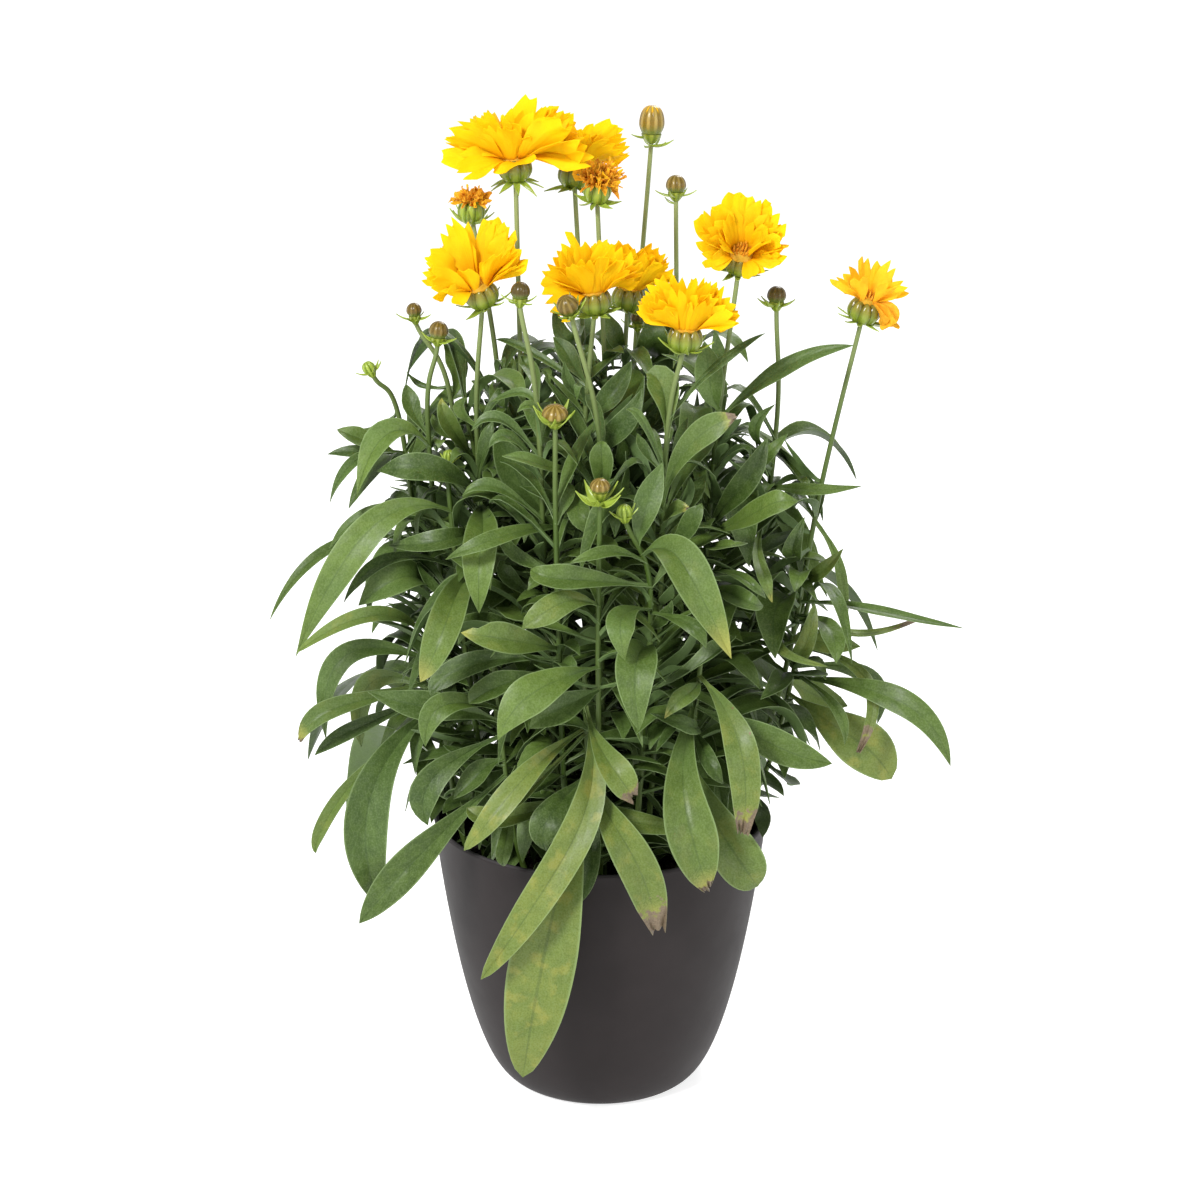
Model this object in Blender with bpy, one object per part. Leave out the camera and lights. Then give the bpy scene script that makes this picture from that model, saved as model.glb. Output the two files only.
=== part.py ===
"""A large-flowered tickseed plant with its double yellow flowers, growing in a round dark pot.

Each flower stem is one body with its own leaves, its flower's green cup and its sepals. The
petals of a flower are one body, and so is each brown bud. Metres, +Z up. The origin is the
middle of the pot's flat base, and the front of the plant is towards -Y.
"""
import math
import random

import bmesh
import bpy
from mathutils import Matrix, Vector
from mathutils.bvhtree import BVHTree

MM = 0.001

# Pot and soil
POT_HEIGHT = 151 * MM
POT_RIM_RADIUS = 90 * MM
POT_BASE_RADIUS = 47 * MM
POT_WALL = 3 * MM
POT_FLOOR = 4 * MM
POT_SIDES = 36
POT_LIP = 1.2 * MM
SOIL_TOP = 125 * MM
HOLE_RADIUS = 3.1 * MM
HOLE_DEPTH = 20 * MM
HOLE_SIDES = 5
GAP = 0.3 * MM
SLIVER = 0.02 * MM

# Stems
STEM_SIDES = 4
STEM_FOOT_RADIUS = 2.1 * MM
STEM_TOP_RADIUS = 1.5 * MM
STEM_COLLAR = 4 * MM
STEM_STEPS = 5

# Heads: the green cup under each flower, its narrow sepals, and the brown buds
CUP_DEPTH = 4.5 * MM
CUP_HEIGHT = 8.5 * MM
CUP_RADIUS = 8.8 * MM
SPENT_CUP_RADIUS = 7.2 * MM
CUP_SIDES = 16
CUP_LOBE_DEPTH = 0.13
SMALL_CUP_SIDES = 8
SEPAL_RADIUS = 0.8 * MM
FLOWER_SEPALS = 8
BUD_SEPALS = 6
BUD_SIDES = 10
BUD_LOBE_DEPTH = 0.08

# Flowers: the disc that the petals grow from, and the petals' places round it, of DISC_SIDES. A
# wilting flower's petals have a place, slopes in degrees, and a share of the full length.
DISC_RADIUS = 6.4 * MM
SPENT_DISC_RADIUS = 4.4 * MM
DISC_SIDES = 16
PETAL_THICKNESS = 1.4 * MM
OUTER_SLOTS = (0, 2, 4, 6, 8, 10, 12, 14)
MIDDLE_SLOTS = (1, 4, 7, 10, 13)
INNER_SLOTS = (0, 4, 8, 12)
WILTING_PETALS = [(0, (30, -50), 0.8), (3, (45, 20), 0.8), (6, (55, 60), 0.8), (8, (25, 10), 0.95),
                  (10, (50, 30), 0.8), (12, (25, -40), 0.9), (14, (76, 55), 0.8)]

# Leaves, and the room that a new leaf leaves round what is there already
LEAF_THICKNESS = 1.3 * MM
LEAF_STALK = 2.4 * MM
LEAF_ROOM = 0.5 * MM
ROOM_TRIES = 90
ROOM_STEP = 0.35 * MM
SEED = 7

UP = Vector((0, 0, 1))
LIGHT = Vector((0, -1, 0))

# Shoots, in millimetres: foot in the soil (x, y), a point on the way up, the head or the shoot's
# top, the head's lean to +X and +Y for each unit up, what it bears, and its radius.
SHOOTS = {
    "A": ((-22, -4), (-40, 0, 365), (-43, 0, 502), (-0.05, -0.12), "bloom", 35),
    "B": ((-8, 26), (-8, 40, 371), (-13, 42, 492), (0.1, 0.05), "bloom", 27),
    "C": ((0, 8), (3, 10, 366), (-1, 4, 490), (0.15, -0.3), "spent", 13),
    "D": ((14, 24), (18, 68, 372), (27, 62, 508), (0.03, -0.03), "bud", 6.7),
    "E": ((28, 34), (41, 60, 358), (40, 58, 478), (0, 0), "bud", 5.4),
    "F": ((-36, 14), (-53, 15, 387), (-66, 20, 477), (0.05, -0.1), "spent", 10),
    "G": ((-46, -18), (-63, -22, 369), (-60, -30, 443), (-0.28, -0.35), "bloom", 28),
    "H": ((-18, -32), (-31, -58, 385), (-39, -64, 446), (0.05, -0.1), "bud", 4.8),
    "I": ((-2, -18), (-8, -30, 361), (-3, -25, 439), (-0.1, -0.15), "bloom", 27),
    "J": ((16, 6), (12, 20, 361), (15, 32, 429), (0.15, 0.02), "bloom", 27),
    "K": ((2, -36), (0, -60, 369), (-15, -57, 438), (-0.3, -0.55), "bud", 5.5),
    "L": ((12, 44), (26, 58, 365), (20, 52, 409), (0, 0), "bud", 4),
    "M": ((24, -34), (33, -62, 374), (42, -62, 428), (0.05, -0.12), "bloom", 26),
    "N": ((38, -8), (59, -15, 357), (71, -10, 456), (0.1, -0.7), "bloom", 24),
    "O": ((54, 10), (92, 10, 361), (91, 10, 429), (0, 0), "bud", 5),
    "P": ((64, -6), (116, 0, 336), (136, 0, 429), (0.25, -0.2), "wilting", 22),
    "Q": ((-54, 6), (-77, 5, 376), (-95, 0, 424), (-0.1, -0.1), "bud", 4),
    "R": ((-62, -12), (-88, -22, 372), (-82, -20, 417), (0.1, -0.1), "bud", 5),
    "S": ((-66, 18), (-104, 8, 364), (-119, 0, 396), (-0.5, -0.1), "green", 3.5),
    "T": ((-50, -34), (-77, -38, 342), (-77, -30, 357), (0, -0.1), "green", 3.2),
    "U": ((-16, -50), (-22, -78, 337), (-22, -80, 389), (0, -0.25), "bud", 6.5),
    "V": ((0, -58), (-1, -88, 288), (0, -100, 358), (0, -0.2), "bud", 5),
    "W": ((16, -50), (25, -78, 301), (12, -90, 344), (-0.1, -0.1), "green", 4),
    "X": ((-36, 34), (-62, 2, 330), (-70, -5, 381), (0, 0), "shoot", 0),
    "Y": ((-12, 60), (-24, 84, 240), (-30, 98, 330), (0, 0), "shoot", 0),
    "Z": ((44, 42), (66, 62, 240), (78, 74, 325), (0, 0), "shoot", 0),
    "low_left": ((-68, -26), (-80, -26, 190), (-90, -20, 285), (0, 0), "shoot", 0),
    "low_left_front": ((-36, -54), (-48, -62, 190), (-54, -66, 262), (0, 0), "shoot", 0),
    "low_front": ((-4, -72), (-6, -72, 190), (-8, -76, 262), (0, 0), "shoot", 0),
    "low_right_front": ((40, -48), (45, -62, 190), (52, -70, 276), (0, 0), "shoot", 0),
    "low_right": ((68, 18), (98, 8, 200), (112, 4, 280), (0, 0), "shoot", 0),
}

# Leaves that show from the front, in millimetres, nearest first: the height of the root on its
# shoot, a point half way along the blade, the tip, the width, and how far the blade's face has
# turned from the sky to the light.
LEAVES = {
    "low_front": [
        (238, (-15, -120, 180), (-60, -125, 110), 21, 0.65),
        (205, (-25, -115, 135), (-40, -105, 45), 40, 0.85),
        (190, (-5, -100, 165), (-12, -102, 140), 11, 0.6),
        (196, (15, -100, 193), (35, -105, 185), 14, 0.4),
        (200, (27, -110, 177), (23, -112, 133), 24, 0.8),
        (234, (5, -115, 222), (17, -118, 205), 15, 0.6),
        (226, (-43, -112, 207), (-68, -115, 176), 13, 0.6),
        (188, (-46, -98, 187), (-67, -100, 193), 13, 0.5),
        (212, (-28, -102, 212), (-41, -106, 212), 9, 0.4),
        (200, (-25, -106, 191), (-27, -106, 172), 16, 0.7),
    ],
    "low_right_front": [
        (252, (70, -110, 227), (71, -112, 183), 17, 0.7),
        (240, (43, -120, 197), (55, -122, 156), 29, 0.75),
        (205, (65, -100, 173), (80, -100, 150), 25, 0.8),
        (235, (87, -78, 219), (118, -80, 209), 17, 0.6),
        (248, (42, -102, 253), (32, -106, 243), 10, 0.6),
        (225, (45, -96, 235), (25, -96, 242), 10, 0.4),
        (222, (54, -94, 217), (62, -98, 205), 9, 0.5),
    ],
    "low_left_front": [
        (188, (-48, -94, 171), (-49, -95, 159), 8, 0.6),
        (226, (-84, -70, 236), (-118, -72, 245), 15, 0.6),
        (232, (-77, -86, 243), (-88, -90, 222), 13, 0.6),
        (196, (-95, -86, 158), (-124, -88, 124), 18, 0.7),
        (218, (-84, -80, 202), (-88, -82, 176), 16, 0.7),
        (205, (-63, -70, 199), (-75, -76, 188), 12, 0.5),
    ],
    "low_left": [
        (222, (-118, -74, 187), (-113, -76, 128), 23, 0.75),
        (218, (-139, -22, 166), (-152, -26, 137), 8, 0.6),
        (228, (-126, -32, 211), (-150, -34, 196), 9, 0.5),
        (234, (-133, -46, 228), (-156, -48, 209), 11, 0.6),
        (240, (-133, -42, 254), (-145, -46, 211), 13, 0.6),
        (250, (-112, -70, 285), (-153, -76, 267), 9, 0.5),
        (226, (-121, -12, 229), (-127, -16, 194), 13, 0.6),
    ],
    "low_right": [
        (225, (152, -42, 231), (182, -52, 197), 14, 0.6),
        (216, (133, -12, 199), (156, -14, 175), 26, 0.8),
        (222, (111, 28, 211), (136, 34, 199), 16, 0.6),
        (228, (123, -26, 221), (129, -28, 200), 6, 0.6),
        (232, (144, 18, 222), (151, 20, 194), 11, 0.6),
        (236, (134, -28, 240), (140, -34, 199), 7, 0.6),
        (238, (105, -34, 254), (111, -34, 280), 10, 0.6),
    ],
    "W": [
        (320, (41, -110, 323), (64, -120, 279), 24, 0.6),
        (290, (10, -120, 298), (12, -122, 279), 14, 0.7),
        (268, (18, -122, 266), (19, -126, 246), 25, 0.7),
        (326, (23, -82, 346), (31, -78, 367), 14, 0.6),
        (316, (2, -100, 327), (-15, -106, 323), 7, 0.5),
        (305, (-13, -100, 316), (-32, -106, 315), 13, 0.6),
        (288, (42, -106, 293), (52, -110, 281), 8, 0.6),
    ],
    "V": [
        (262, (-30, -120, 263), (-50, -126, 239), 21, 0.65),
        (296, (-20, -108, 303), (-38, -112, 292), 14, 0.6),
        (250, (-20, -106, 248), (-35, -110, 239), 15, 0.6),
    ],
    "U": [
        (268, (-45, -106, 284), (-68, -110, 289), 15, 0.6),
        (262, (-70, -76, 259), (-85, -82, 246), 13, 0.6),
        (254, (-51, -78, 250), (-66, -82, 242), 14, 0.5),
    ],
    "G": [
        (300, (-75, -96, 293), (-89, -100, 260), 21, 0.7),
        (330, (-59, -78, 324), (-60, -88, 292), 18, 0.7),
        (332, (-89, -48, 354), (-112, -42, 353), 15, 0.6),
        (322, (-87, -50, 323), (-105, -50, 318), 12, 0.5),
        (342, (-59, -36, 364), (-54, -36, 377), 7, 0.5),
    ],
    "T": [
        (330, (-116, -62, 327), (-154, -70, 263), 18, 0.65),
        (322, (-116, -32, 328), (-139, -32, 309), 8, 0.5),
        (300, (-110, -50, 307), (-130, -58, 288), 8, 0.5),
    ],
    "I": [
        (318, (-44, -85, 332), (-76, -92, 321), 9, 0.5),
        (345, (-11, -68, 342), (-5, -74, 329), 12, 0.6),
        (350, (-30, -76, 365), (-48, -82, 371), 8, 0.5),
        (355, (9, -48, 376), (21, -48, 397), 12, 0.6),
        (375, (6, -25, 388), (16, -25, 406), 12, 0.6),
        (392, (-35, -15, 408), (-53, -12, 414), 5, 0.5),
        (385, (-15, -32, 394), (-18, -32, 407), 6, 0.5),
        (394, (-15, -12, 403), (-24, -6, 414), 10, 0.6),
    ],
    "M": [
        (340, (46, -76, 377), (67, -80, 390), 14, 0.6),
        (325, (36, -72, 339), (44, -78, 343), 10, 0.5),
        (315, (44, -84, 336), (50, -86, 348), 10, 0.6),
        (375, (31, -58, 399), (23, -54, 406), 15, 0.7),
        (355, (22, -76, 385), (13, -76, 393), 5, 0.5),
        (385, (60, -48, 410), (82, -44, 424), 5, 0.4),
    ],
    "N": [
        (312, (78, -70, 339), (98, -78, 347), 15, 0.6),
        (315, (71, -46, 345), (84, -46, 371), 12, 0.6),
        (372, (90, -22, 399), (128, -26, 414), 10, 0.45),
        (378, (56, -20, 393), (53, -16, 414), 15, 0.7),
        (398, (62, 2, 401), (59, 6, 416), 8, 0.5),
        (305, (60, -84, 325), (73, -84, 327), 8, 0.5),
        (290, (70, -90, 311), (82, -92, 301), 6, 0.5),
        (282, (68, -84, 299), (81, -86, 295), 11, 0.6),
    ],
    "P": [
        (270, (144, -32, 275), (188, -36, 267), 7, 0.35),
        (262, (131, -14, 257), (167, -18, 266), 5, 0.4),
        (262, (112, -38, 270), (117, -44, 249), 13, 0.7),
        (258, (91, -58, 265), (116, -62, 255), 5, 0.5),
        (250, (119, -8, 246), (136, -8, 238), 13, 0.6),
        (290, (114, -22, 292), (126, -20, 305), 9, 0.5),
        (300, (99, -32, 307), (105, -30, 325), 10, 0.6),
        (315, (128, 8, 282), (132, 6, 259), 6, 0.6),
    ],
    "H": [
        (330, (-51, -60, 349), (-69, -62, 345), 7, 0.5),
        (382, (-38, -45, 394), (-55, -50, 390), 5, 0.5),
        (362, (-48, -60, 383), (-64, -60, 378), 7, 0.5),
        (352, (-44, -66, 376), (-55, -70, 372), 7, 0.5),
        (370, (-33, -62, 390), (-41, -66, 389), 5, 0.5),
        (388, (-35, -15, 398), (-41, -10, 405), 8, 0.6),
    ],
    "O": [
        (350, (80, -12, 365), (90, -8, 379), 7, 0.5),
        (340, (85, -22, 355), (96, -22, 367), 8, 0.5),
        (330, (105, -20, 337), (134, -25, 340), 7.5, 0.4),
        (315, (81, -58, 307), (87, -64, 290), 7, 0.6),
    ],
    "R": [
        (360, (-106, -35, 371), (-123, -45, 341), 14, 0.5),
        (366, (-97, -8, 378), (-100, -4, 389), 9, 0.6),
    ],
    "S": [
        (345, (-122, -5, 359), (-136, -5, 365), 10, 0.5),
        (340, (-121, 2, 351), (-142, 2, 350), 7, 0.5),
        (350, (-128, -14, 349), (-139, -14, 329), 6, 0.6),
        (372, (-113, 14, 363), (-132, 14, 359), 6, 0.3),
        (300, (-142, -20, 304), (-172, -25, 268), 6.5, 0.5),
    ],
    "Q": [
        (385, (-91, 18, 382), (-101, 18, 390), 4, 0.4),
        (378, (-74, 20, 392), (-82, 25, 404), 11, 0.6),
    ],
    "X": [
        (345, (-76, -30, 373), (-80, -32, 388), 9, 0.6),
        (360, (-81, -14, 367), (-86, -12, 375), 7, 0.5),
    ],
    "F": [(385, (-48, 5, 390), (-45, 10, 400), 8, 0.6)],
    "K": [(345, (1, -76, 368), (1, -76, 377), 12, 0.6)],
    "B": [(410, (-16, 12, 408), (-24, 18, 424), 10, 0.6)],
    "J": [(402, (8, 16, 409), (3, 20, 422), 10, 0.6)],
    "L": [(392, (28, 8, 407), (26, 12, 422), 19, 0.7)],
    "E": [(392, (39, 24, 403), (36, 28, 417), 14, 0.7)],
}

# Leaves in opposite pairs, placed by rule: shoot, lowest and highest pair in millimetres, number
# of pairs, and the heading of the lowest pair in degrees from +X.
PAIRS = [
    ("Y", 165, 320, 6, 60), ("Z", 165, 315, 5, 15), ("X", 190, 372, 3, 120),
    ("low_left", 180, 280, 2, 150), ("low_right", 178, 270, 2, 20),
    ("J", 205, 370, 3, 5), ("C", 230, 345, 2, 165), ("A", 215, 365, 2, 10), ("D", 225, 350, 3, 5),
    ("B", 215, 380, 3, 80), ("E", 205, 380, 2, 40), ("L", 190, 385, 3, 95),
    ("F", 220, 375, 2, 110), ("S", 200, 330, 2, 160),
]

placed = []


def mm(point):
    return Vector(point) * MM


def material(name, colour, roughness):
    skin = bpy.data.materials.new(name)
    skin.use_nodes = True
    shader = skin.node_tree.nodes["Principled BSDF"]
    shader.inputs["Base Color"].default_value = (*colour, 1)
    shader.inputs["Roughness"].default_value = roughness
    return skin


def solid(name, points, faces, skin=None, home=None):
    """An object from points and faces, with all its faces turned outwards."""
    mesh = bpy.data.meshes.new(name)
    mesh.from_pydata([tuple(p) for p in points], [], faces)
    shape = bmesh.new()
    shape.from_mesh(mesh)
    bmesh.ops.recalc_face_normals(shape, faces=shape.faces)
    shape.to_mesh(mesh)
    shape.free()
    if skin:
        mesh.materials.append(skin)
    body = bpy.data.objects.new(name, mesh)
    (home or bpy.context.scene.collection).objects.link(body)
    return body


def turned(profile, sides):
    """Points and faces of a profile turned about Z. It ends in a point where its radius is 0, and in
    a flat cap elsewhere."""
    points, rings = [], []
    for radius, height in profile:
        ring = sides if radius else 1
        rings.append(list(range(len(points), len(points) + ring)))
        for k in range(ring):
            angle = 2 * math.pi * k / ring
            points.append(Vector((radius * math.cos(angle), radius * math.sin(angle), height)))
    faces = [rings[0][::-1], rings[-1]]
    faces = [cap for cap in faces if len(cap) > 1]
    for low, high in zip(rings, rings[1:]):
        for k in range(sides):
            j = (k + 1) % sides
            if len(low) == 1:
                faces.append((low[0], high[j], high[k]))
            elif len(high) == 1:
                faces.append((low[k], low[j], high[0]))
            else:
                faces += [(low[k], low[j], high[j]), (low[k], high[j], high[k])]
    return points, faces


def rings_to_faces(count, sides, closed_tip):
    """Faces over rings of points, with a cap on the first and a cap or a single point last."""
    faces = [(0, k, k + 1) for k in range(1, sides - 1)]
    for ring in range(count - 1):
        for k in range(sides):
            a = ring * sides + k
            b = ring * sides + (k + 1) % sides
            faces += [(a, b, b + sides), (a, b + sides, a + sides)]
    last = (count - 1) * sides
    if closed_tip:
        faces += [(last + k, last + (k + 1) % sides, last + sides) for k in range(sides)]
    else:
        faces += [(last, last + k, last + k + 1) for k in range(1, sides - 1)]
    return faces


def pot_radius(height):
    """Outer radius of the pot, which bulges from its base and stands straight at its rim."""
    share = height / POT_HEIGHT
    swell = (1 - (1 - share) ** 1.13) ** 0.485
    return POT_BASE_RADIUS + (POT_RIM_RADIUS - POT_BASE_RADIUS) * swell


def make_pot(skin):
    outer_heights = [0, 0.03, 0.1, 0.22, 0.4, 0.66, 1]
    inner_heights = [0.985, 0.8, 0.45, 0.2]
    profile = [(pot_radius(POT_HEIGHT * h), POT_HEIGHT * h) for h in outer_heights]
    profile.append((POT_RIM_RADIUS - POT_LIP, POT_HEIGHT + 0.2 * POT_LIP))
    profile += [(pot_radius(POT_HEIGHT * h) - POT_WALL, POT_HEIGHT * h) for h in inner_heights]
    profile.append((pot_radius(POT_FLOOR) - POT_WALL, POT_FLOOR))
    body = solid("pot", *turned(profile, POT_SIDES), skin)
    body.data.shade_smooth()
    return body


def make_soil(skin):
    """The peat that fills the pot, with a plain hole for each stem."""
    profile = [(pot_radius(POT_FLOOR) - POT_WALL - 3 * GAP, POT_FLOOR + GAP)]
    for share in [0.2, 0.45]:
        height = POT_HEIGHT * share
        profile.append((pot_radius(height) - POT_WALL - 3 * GAP, height))
    profile.append((pot_radius(SOIL_TOP) - POT_WALL - 3 * GAP, SOIL_TOP))
    body = solid("soil", *turned(profile, POT_SIDES), skin)
    drills = bpy.data.collections.new("holes")
    bpy.context.scene.collection.children.link(drills)
    for foot, *_ in SHOOTS.values():
        points, faces = turned(
            [(HOLE_RADIUS, SOIL_TOP - HOLE_DEPTH), (HOLE_RADIUS, SOIL_TOP + HOLE_DEPTH)], HOLE_SIDES)
        shift = mm((*foot, 0))
        solid("hole", [p + shift for p in points], faces, home=drills)
    combine(body, drills, "DIFFERENCE")
    return body


def clean(mesh):
    """Closes up a union's slivers, and drops its loose scraps and the skins of hollows that it
    sealed, which fills them."""
    shape = bmesh.new()
    shape.from_mesh(mesh)
    bmesh.ops.triangulate(shape, faces=shape.faces)
    bmesh.ops.dissolve_degenerate(shape, dist=SLIVER, edges=shape.edges)
    bmesh.ops.triangulate(shape, faces=shape.faces)
    groups, seen = [], set()
    for start in shape.verts:
        if start in seen:
            continue
        group, queue = [], [start]
        seen.add(start)
        while queue:
            point = queue.pop()
            group.append(point)
            for edge in point.link_edges:
                other = edge.other_vert(point)
                if other not in seen:
                    seen.add(other)
                    queue.append(other)
        groups.append(group)
    groups.sort(key=len)
    for group in groups[:-1]:
        bmesh.ops.delete(shape, geom=group, context="VERTS")
    shape.to_mesh(mesh)
    shape.free()


def combine(body, others, operation):
    """Joins or cuts the body with every object of a collection, which is then removed."""
    step = body.modifiers.new("combine", "BOOLEAN")
    step.operation = operation
    step.operand_type = "COLLECTION"
    step.collection = others
    step.solver = "MANIFOLD"
    result = bpy.data.meshes.new_from_object(body.evaluated_get(bpy.context.evaluated_depsgraph_get()))
    clean(result)
    body.modifiers.clear()
    body.data = result
    for other in list(others.objects):
        bpy.data.objects.remove(other)
    bpy.data.collections.remove(others)


def smooth_route(stops, share):
    """A point on a smooth curve through the stops, which it passes at even shares."""
    place = share * (len(stops) - 1)
    leg = min(int(place), len(stops) - 2)
    u = place - leg
    before = stops[leg - 1] if leg else stops[0] * 2 - stops[1]
    start, end = stops[leg], stops[leg + 1]
    after = stops[leg + 2] if leg + 2 < len(stops) else end * 2 - start
    return 0.5 * (2 * start + (end - before) * u + (2 * before - 5 * start + 4 * end - after) * u ** 2
                  + (3 * start - before - 3 * end + after) * u ** 3)


def stem_route(shoot):
    """The middle line of a stem: straight up out of the soil, then a smooth curve to the head."""
    foot, way, head, *_ = SHOOTS[shoot]
    low = mm((*foot, 0)) + UP * (SOIL_TOP - HOLE_DEPTH + GAP)
    collar = mm((*foot, 0)) + UP * (SOIL_TOP + STEM_COLLAR)
    way, head = mm(way), mm(head)
    lift = collar.lerp(way, 0.45)
    lift.xy = collar.xy.lerp(way.xy, 0.62)
    stops = [collar, lift, way, head - head_axis(shoot) * CUP_DEPTH]
    return [low] + [smooth_route(stops, k / STEM_STEPS) for k in range(STEM_STEPS + 1)]


def on_route(route, height):
    """The point of a stem's middle line at a height."""
    for low, high in zip(route, route[1:]):
        if low.z <= height <= high.z:
            return low.lerp(high, (height - low.z) / (high.z - low.z))
    return route[-1] if height > route[-1].z else route[0]


def tube(route, radii, sides):
    points = []
    for k, middle in enumerate(route):
        ahead = route[min(k + 1, len(route) - 1)] - route[max(k - 1, 0)]
        turn = UP.rotation_difference(ahead.normalized()).to_matrix()
        for side in range(sides):
            angle = 2 * math.pi * side / sides
            points.append(middle + turn @ Vector((math.cos(angle), math.sin(angle), 0)) * radii[k])
    return points, rings_to_faces(len(route), sides, closed_tip=False)


def head_axis(shoot):
    lean = SHOOTS[shoot][3]
    return Vector((*lean, 1)).normalized()


def head_frame(shoot):
    """A turn and shift from a head standing at the origin to its place on the stem."""
    turn = UP.rotation_difference(head_axis(shoot)).to_matrix().to_4x4()
    return Matrix.Translation(mm(SHOOTS[shoot][2])) @ turn


def lobed(profile, sides, depth):
    """A turned form whose every other point round is drawn in, like a pumpkin's ribs."""
    points, faces = turned(profile, sides)
    for point in points:
        if point.xy.length > 0:
            k = round(math.atan2(point.y, point.x) / (2 * math.pi / sides))
            if k % 2:
                point.xy *= 1 - depth
    return points, faces


def spike(root, heading, length, rise, bent):
    """A narrow pointed sepal, straight or bent up half way. The rise is its slope at the tip."""
    out = Vector((math.cos(heading), math.sin(heading), 0))
    across = Vector((-math.sin(heading), math.cos(heading), 0)) * SEPAL_RADIUS
    keel = UP * -SEPAL_RADIUS
    rings = [root]
    if bent:
        rings.append(root + out * length * 0.5 + UP * length * 0.1 * rise)
    points = []
    for middle in rings:
        points += [middle - across, middle + across, middle + keel]
    points.append(root + out * length * 0.9 + UP * length * rise * 0.6)
    return points, rings_to_faces(len(rings), 3, closed_tip=True)


def cup_pieces(shoot):
    """Points and faces of a head's cup and sepals, standing at the origin."""
    kind, radius = SHOOTS[shoot][4:]
    radius = radius * MM
    pieces = []
    if kind in ("bloom", "wilting", "spent"):
        cup = CUP_RADIUS if kind == "bloom" else SPENT_CUP_RADIUS
        profile = [(0.45 * cup, -CUP_DEPTH), (cup, -0.1 * CUP_DEPTH), (0.84 * cup, CUP_HEIGHT - CUP_DEPTH)]
        pieces.append(lobed(profile, CUP_SIDES, CUP_LOBE_DEPTH))
        count, length, rise = FLOWER_SEPALS, cup + 8 * MM, 0.25
    elif kind == "bud":
        profile = [(0.36 * radius, -CUP_DEPTH), (0.8 * radius, 0)]
        pieces.append(turned(profile, SMALL_CUP_SIDES))
        count, length, rise = BUD_SEPALS, 1.1 * radius + 5 * MM, 0.45
    else:
        profile = [(0.5 * radius, -CUP_DEPTH), (radius, 0.1 * radius), (0, 1.15 * radius)]
        pieces.append(turned(profile, SMALL_CUP_SIDES))
        count, length, rise = BUD_SEPALS, 1.2 * radius + 4 * MM, 0.6
    draw = random.Random(shoot)
    for k in range(count):
        heading = 2 * math.pi * (k + 0.25 * draw.uniform(-1, 1)) / count
        reach = length * draw.uniform(0.85, 1.12)
        slope = rise + draw.uniform(-0.25, 0.25)
        pieces.append(spike(Vector((0, 0, -CUP_DEPTH * 0.45)), heading, reach, slope, kind == "bloom"))
    return pieces


def grow_petal(points, faces, corners, heading, slope, length, width, teeth):
    """Grows a petal out of a side face of the flower's disc: a wedge with a toothed end, thickest in
    its middle, where it bends.

    The corners are the face's, low left, low right, high right and high left, seen from outside. The
    slope is in degrees, at the petal's base and at its tip.
    """
    out = Vector((math.cos(heading), math.sin(heading), 0))
    across = Vector((-math.sin(heading), math.cos(heading), 0)) * width
    low, high = (math.radians(s) for s in slope)
    step_low = (out * math.cos(low) + UP * math.sin(low)) * length
    step_high = (out * math.cos(high) + UP * math.sin(high)) * length
    middle = sum((points[c] for c in corners), Vector()) / 4 + step_low * 0.5
    notch = middle + step_high * 0.38
    crest = middle + step_high * 0.5
    shoulder = crest - step_high * 0.06
    if teeth == 3:
        end = [shoulder + across * 0.42, notch + across * 0.2, crest, notch - across * 0.2,
               shoulder - across * 0.42]
    else:
        end = [crest + across * 0.3, notch, crest - across * 0.3]
    first = len(points)
    points += [middle + across * 0.42, *end, middle - across * 0.42]
    edge = list(range(first, len(points)))
    thick = across.cross(step_low + step_high).normalized() * -0.5 * PETAL_THICKNESS
    points += [middle + thick, middle - thick]
    top, under = len(points) - 2, len(points) - 1
    low_left, low_right, high_right, high_left = corners
    for centre, rim in [(top, [high_left, high_right] + edge), (under, [low_left, low_right] + edge)]:
        faces += [(a, b, centre) for a, b in zip(rim, rim[1:] + rim[:1])]
    faces += [(low_right, edge[0], high_right), (low_left, high_left, edge[-1])]


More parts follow.
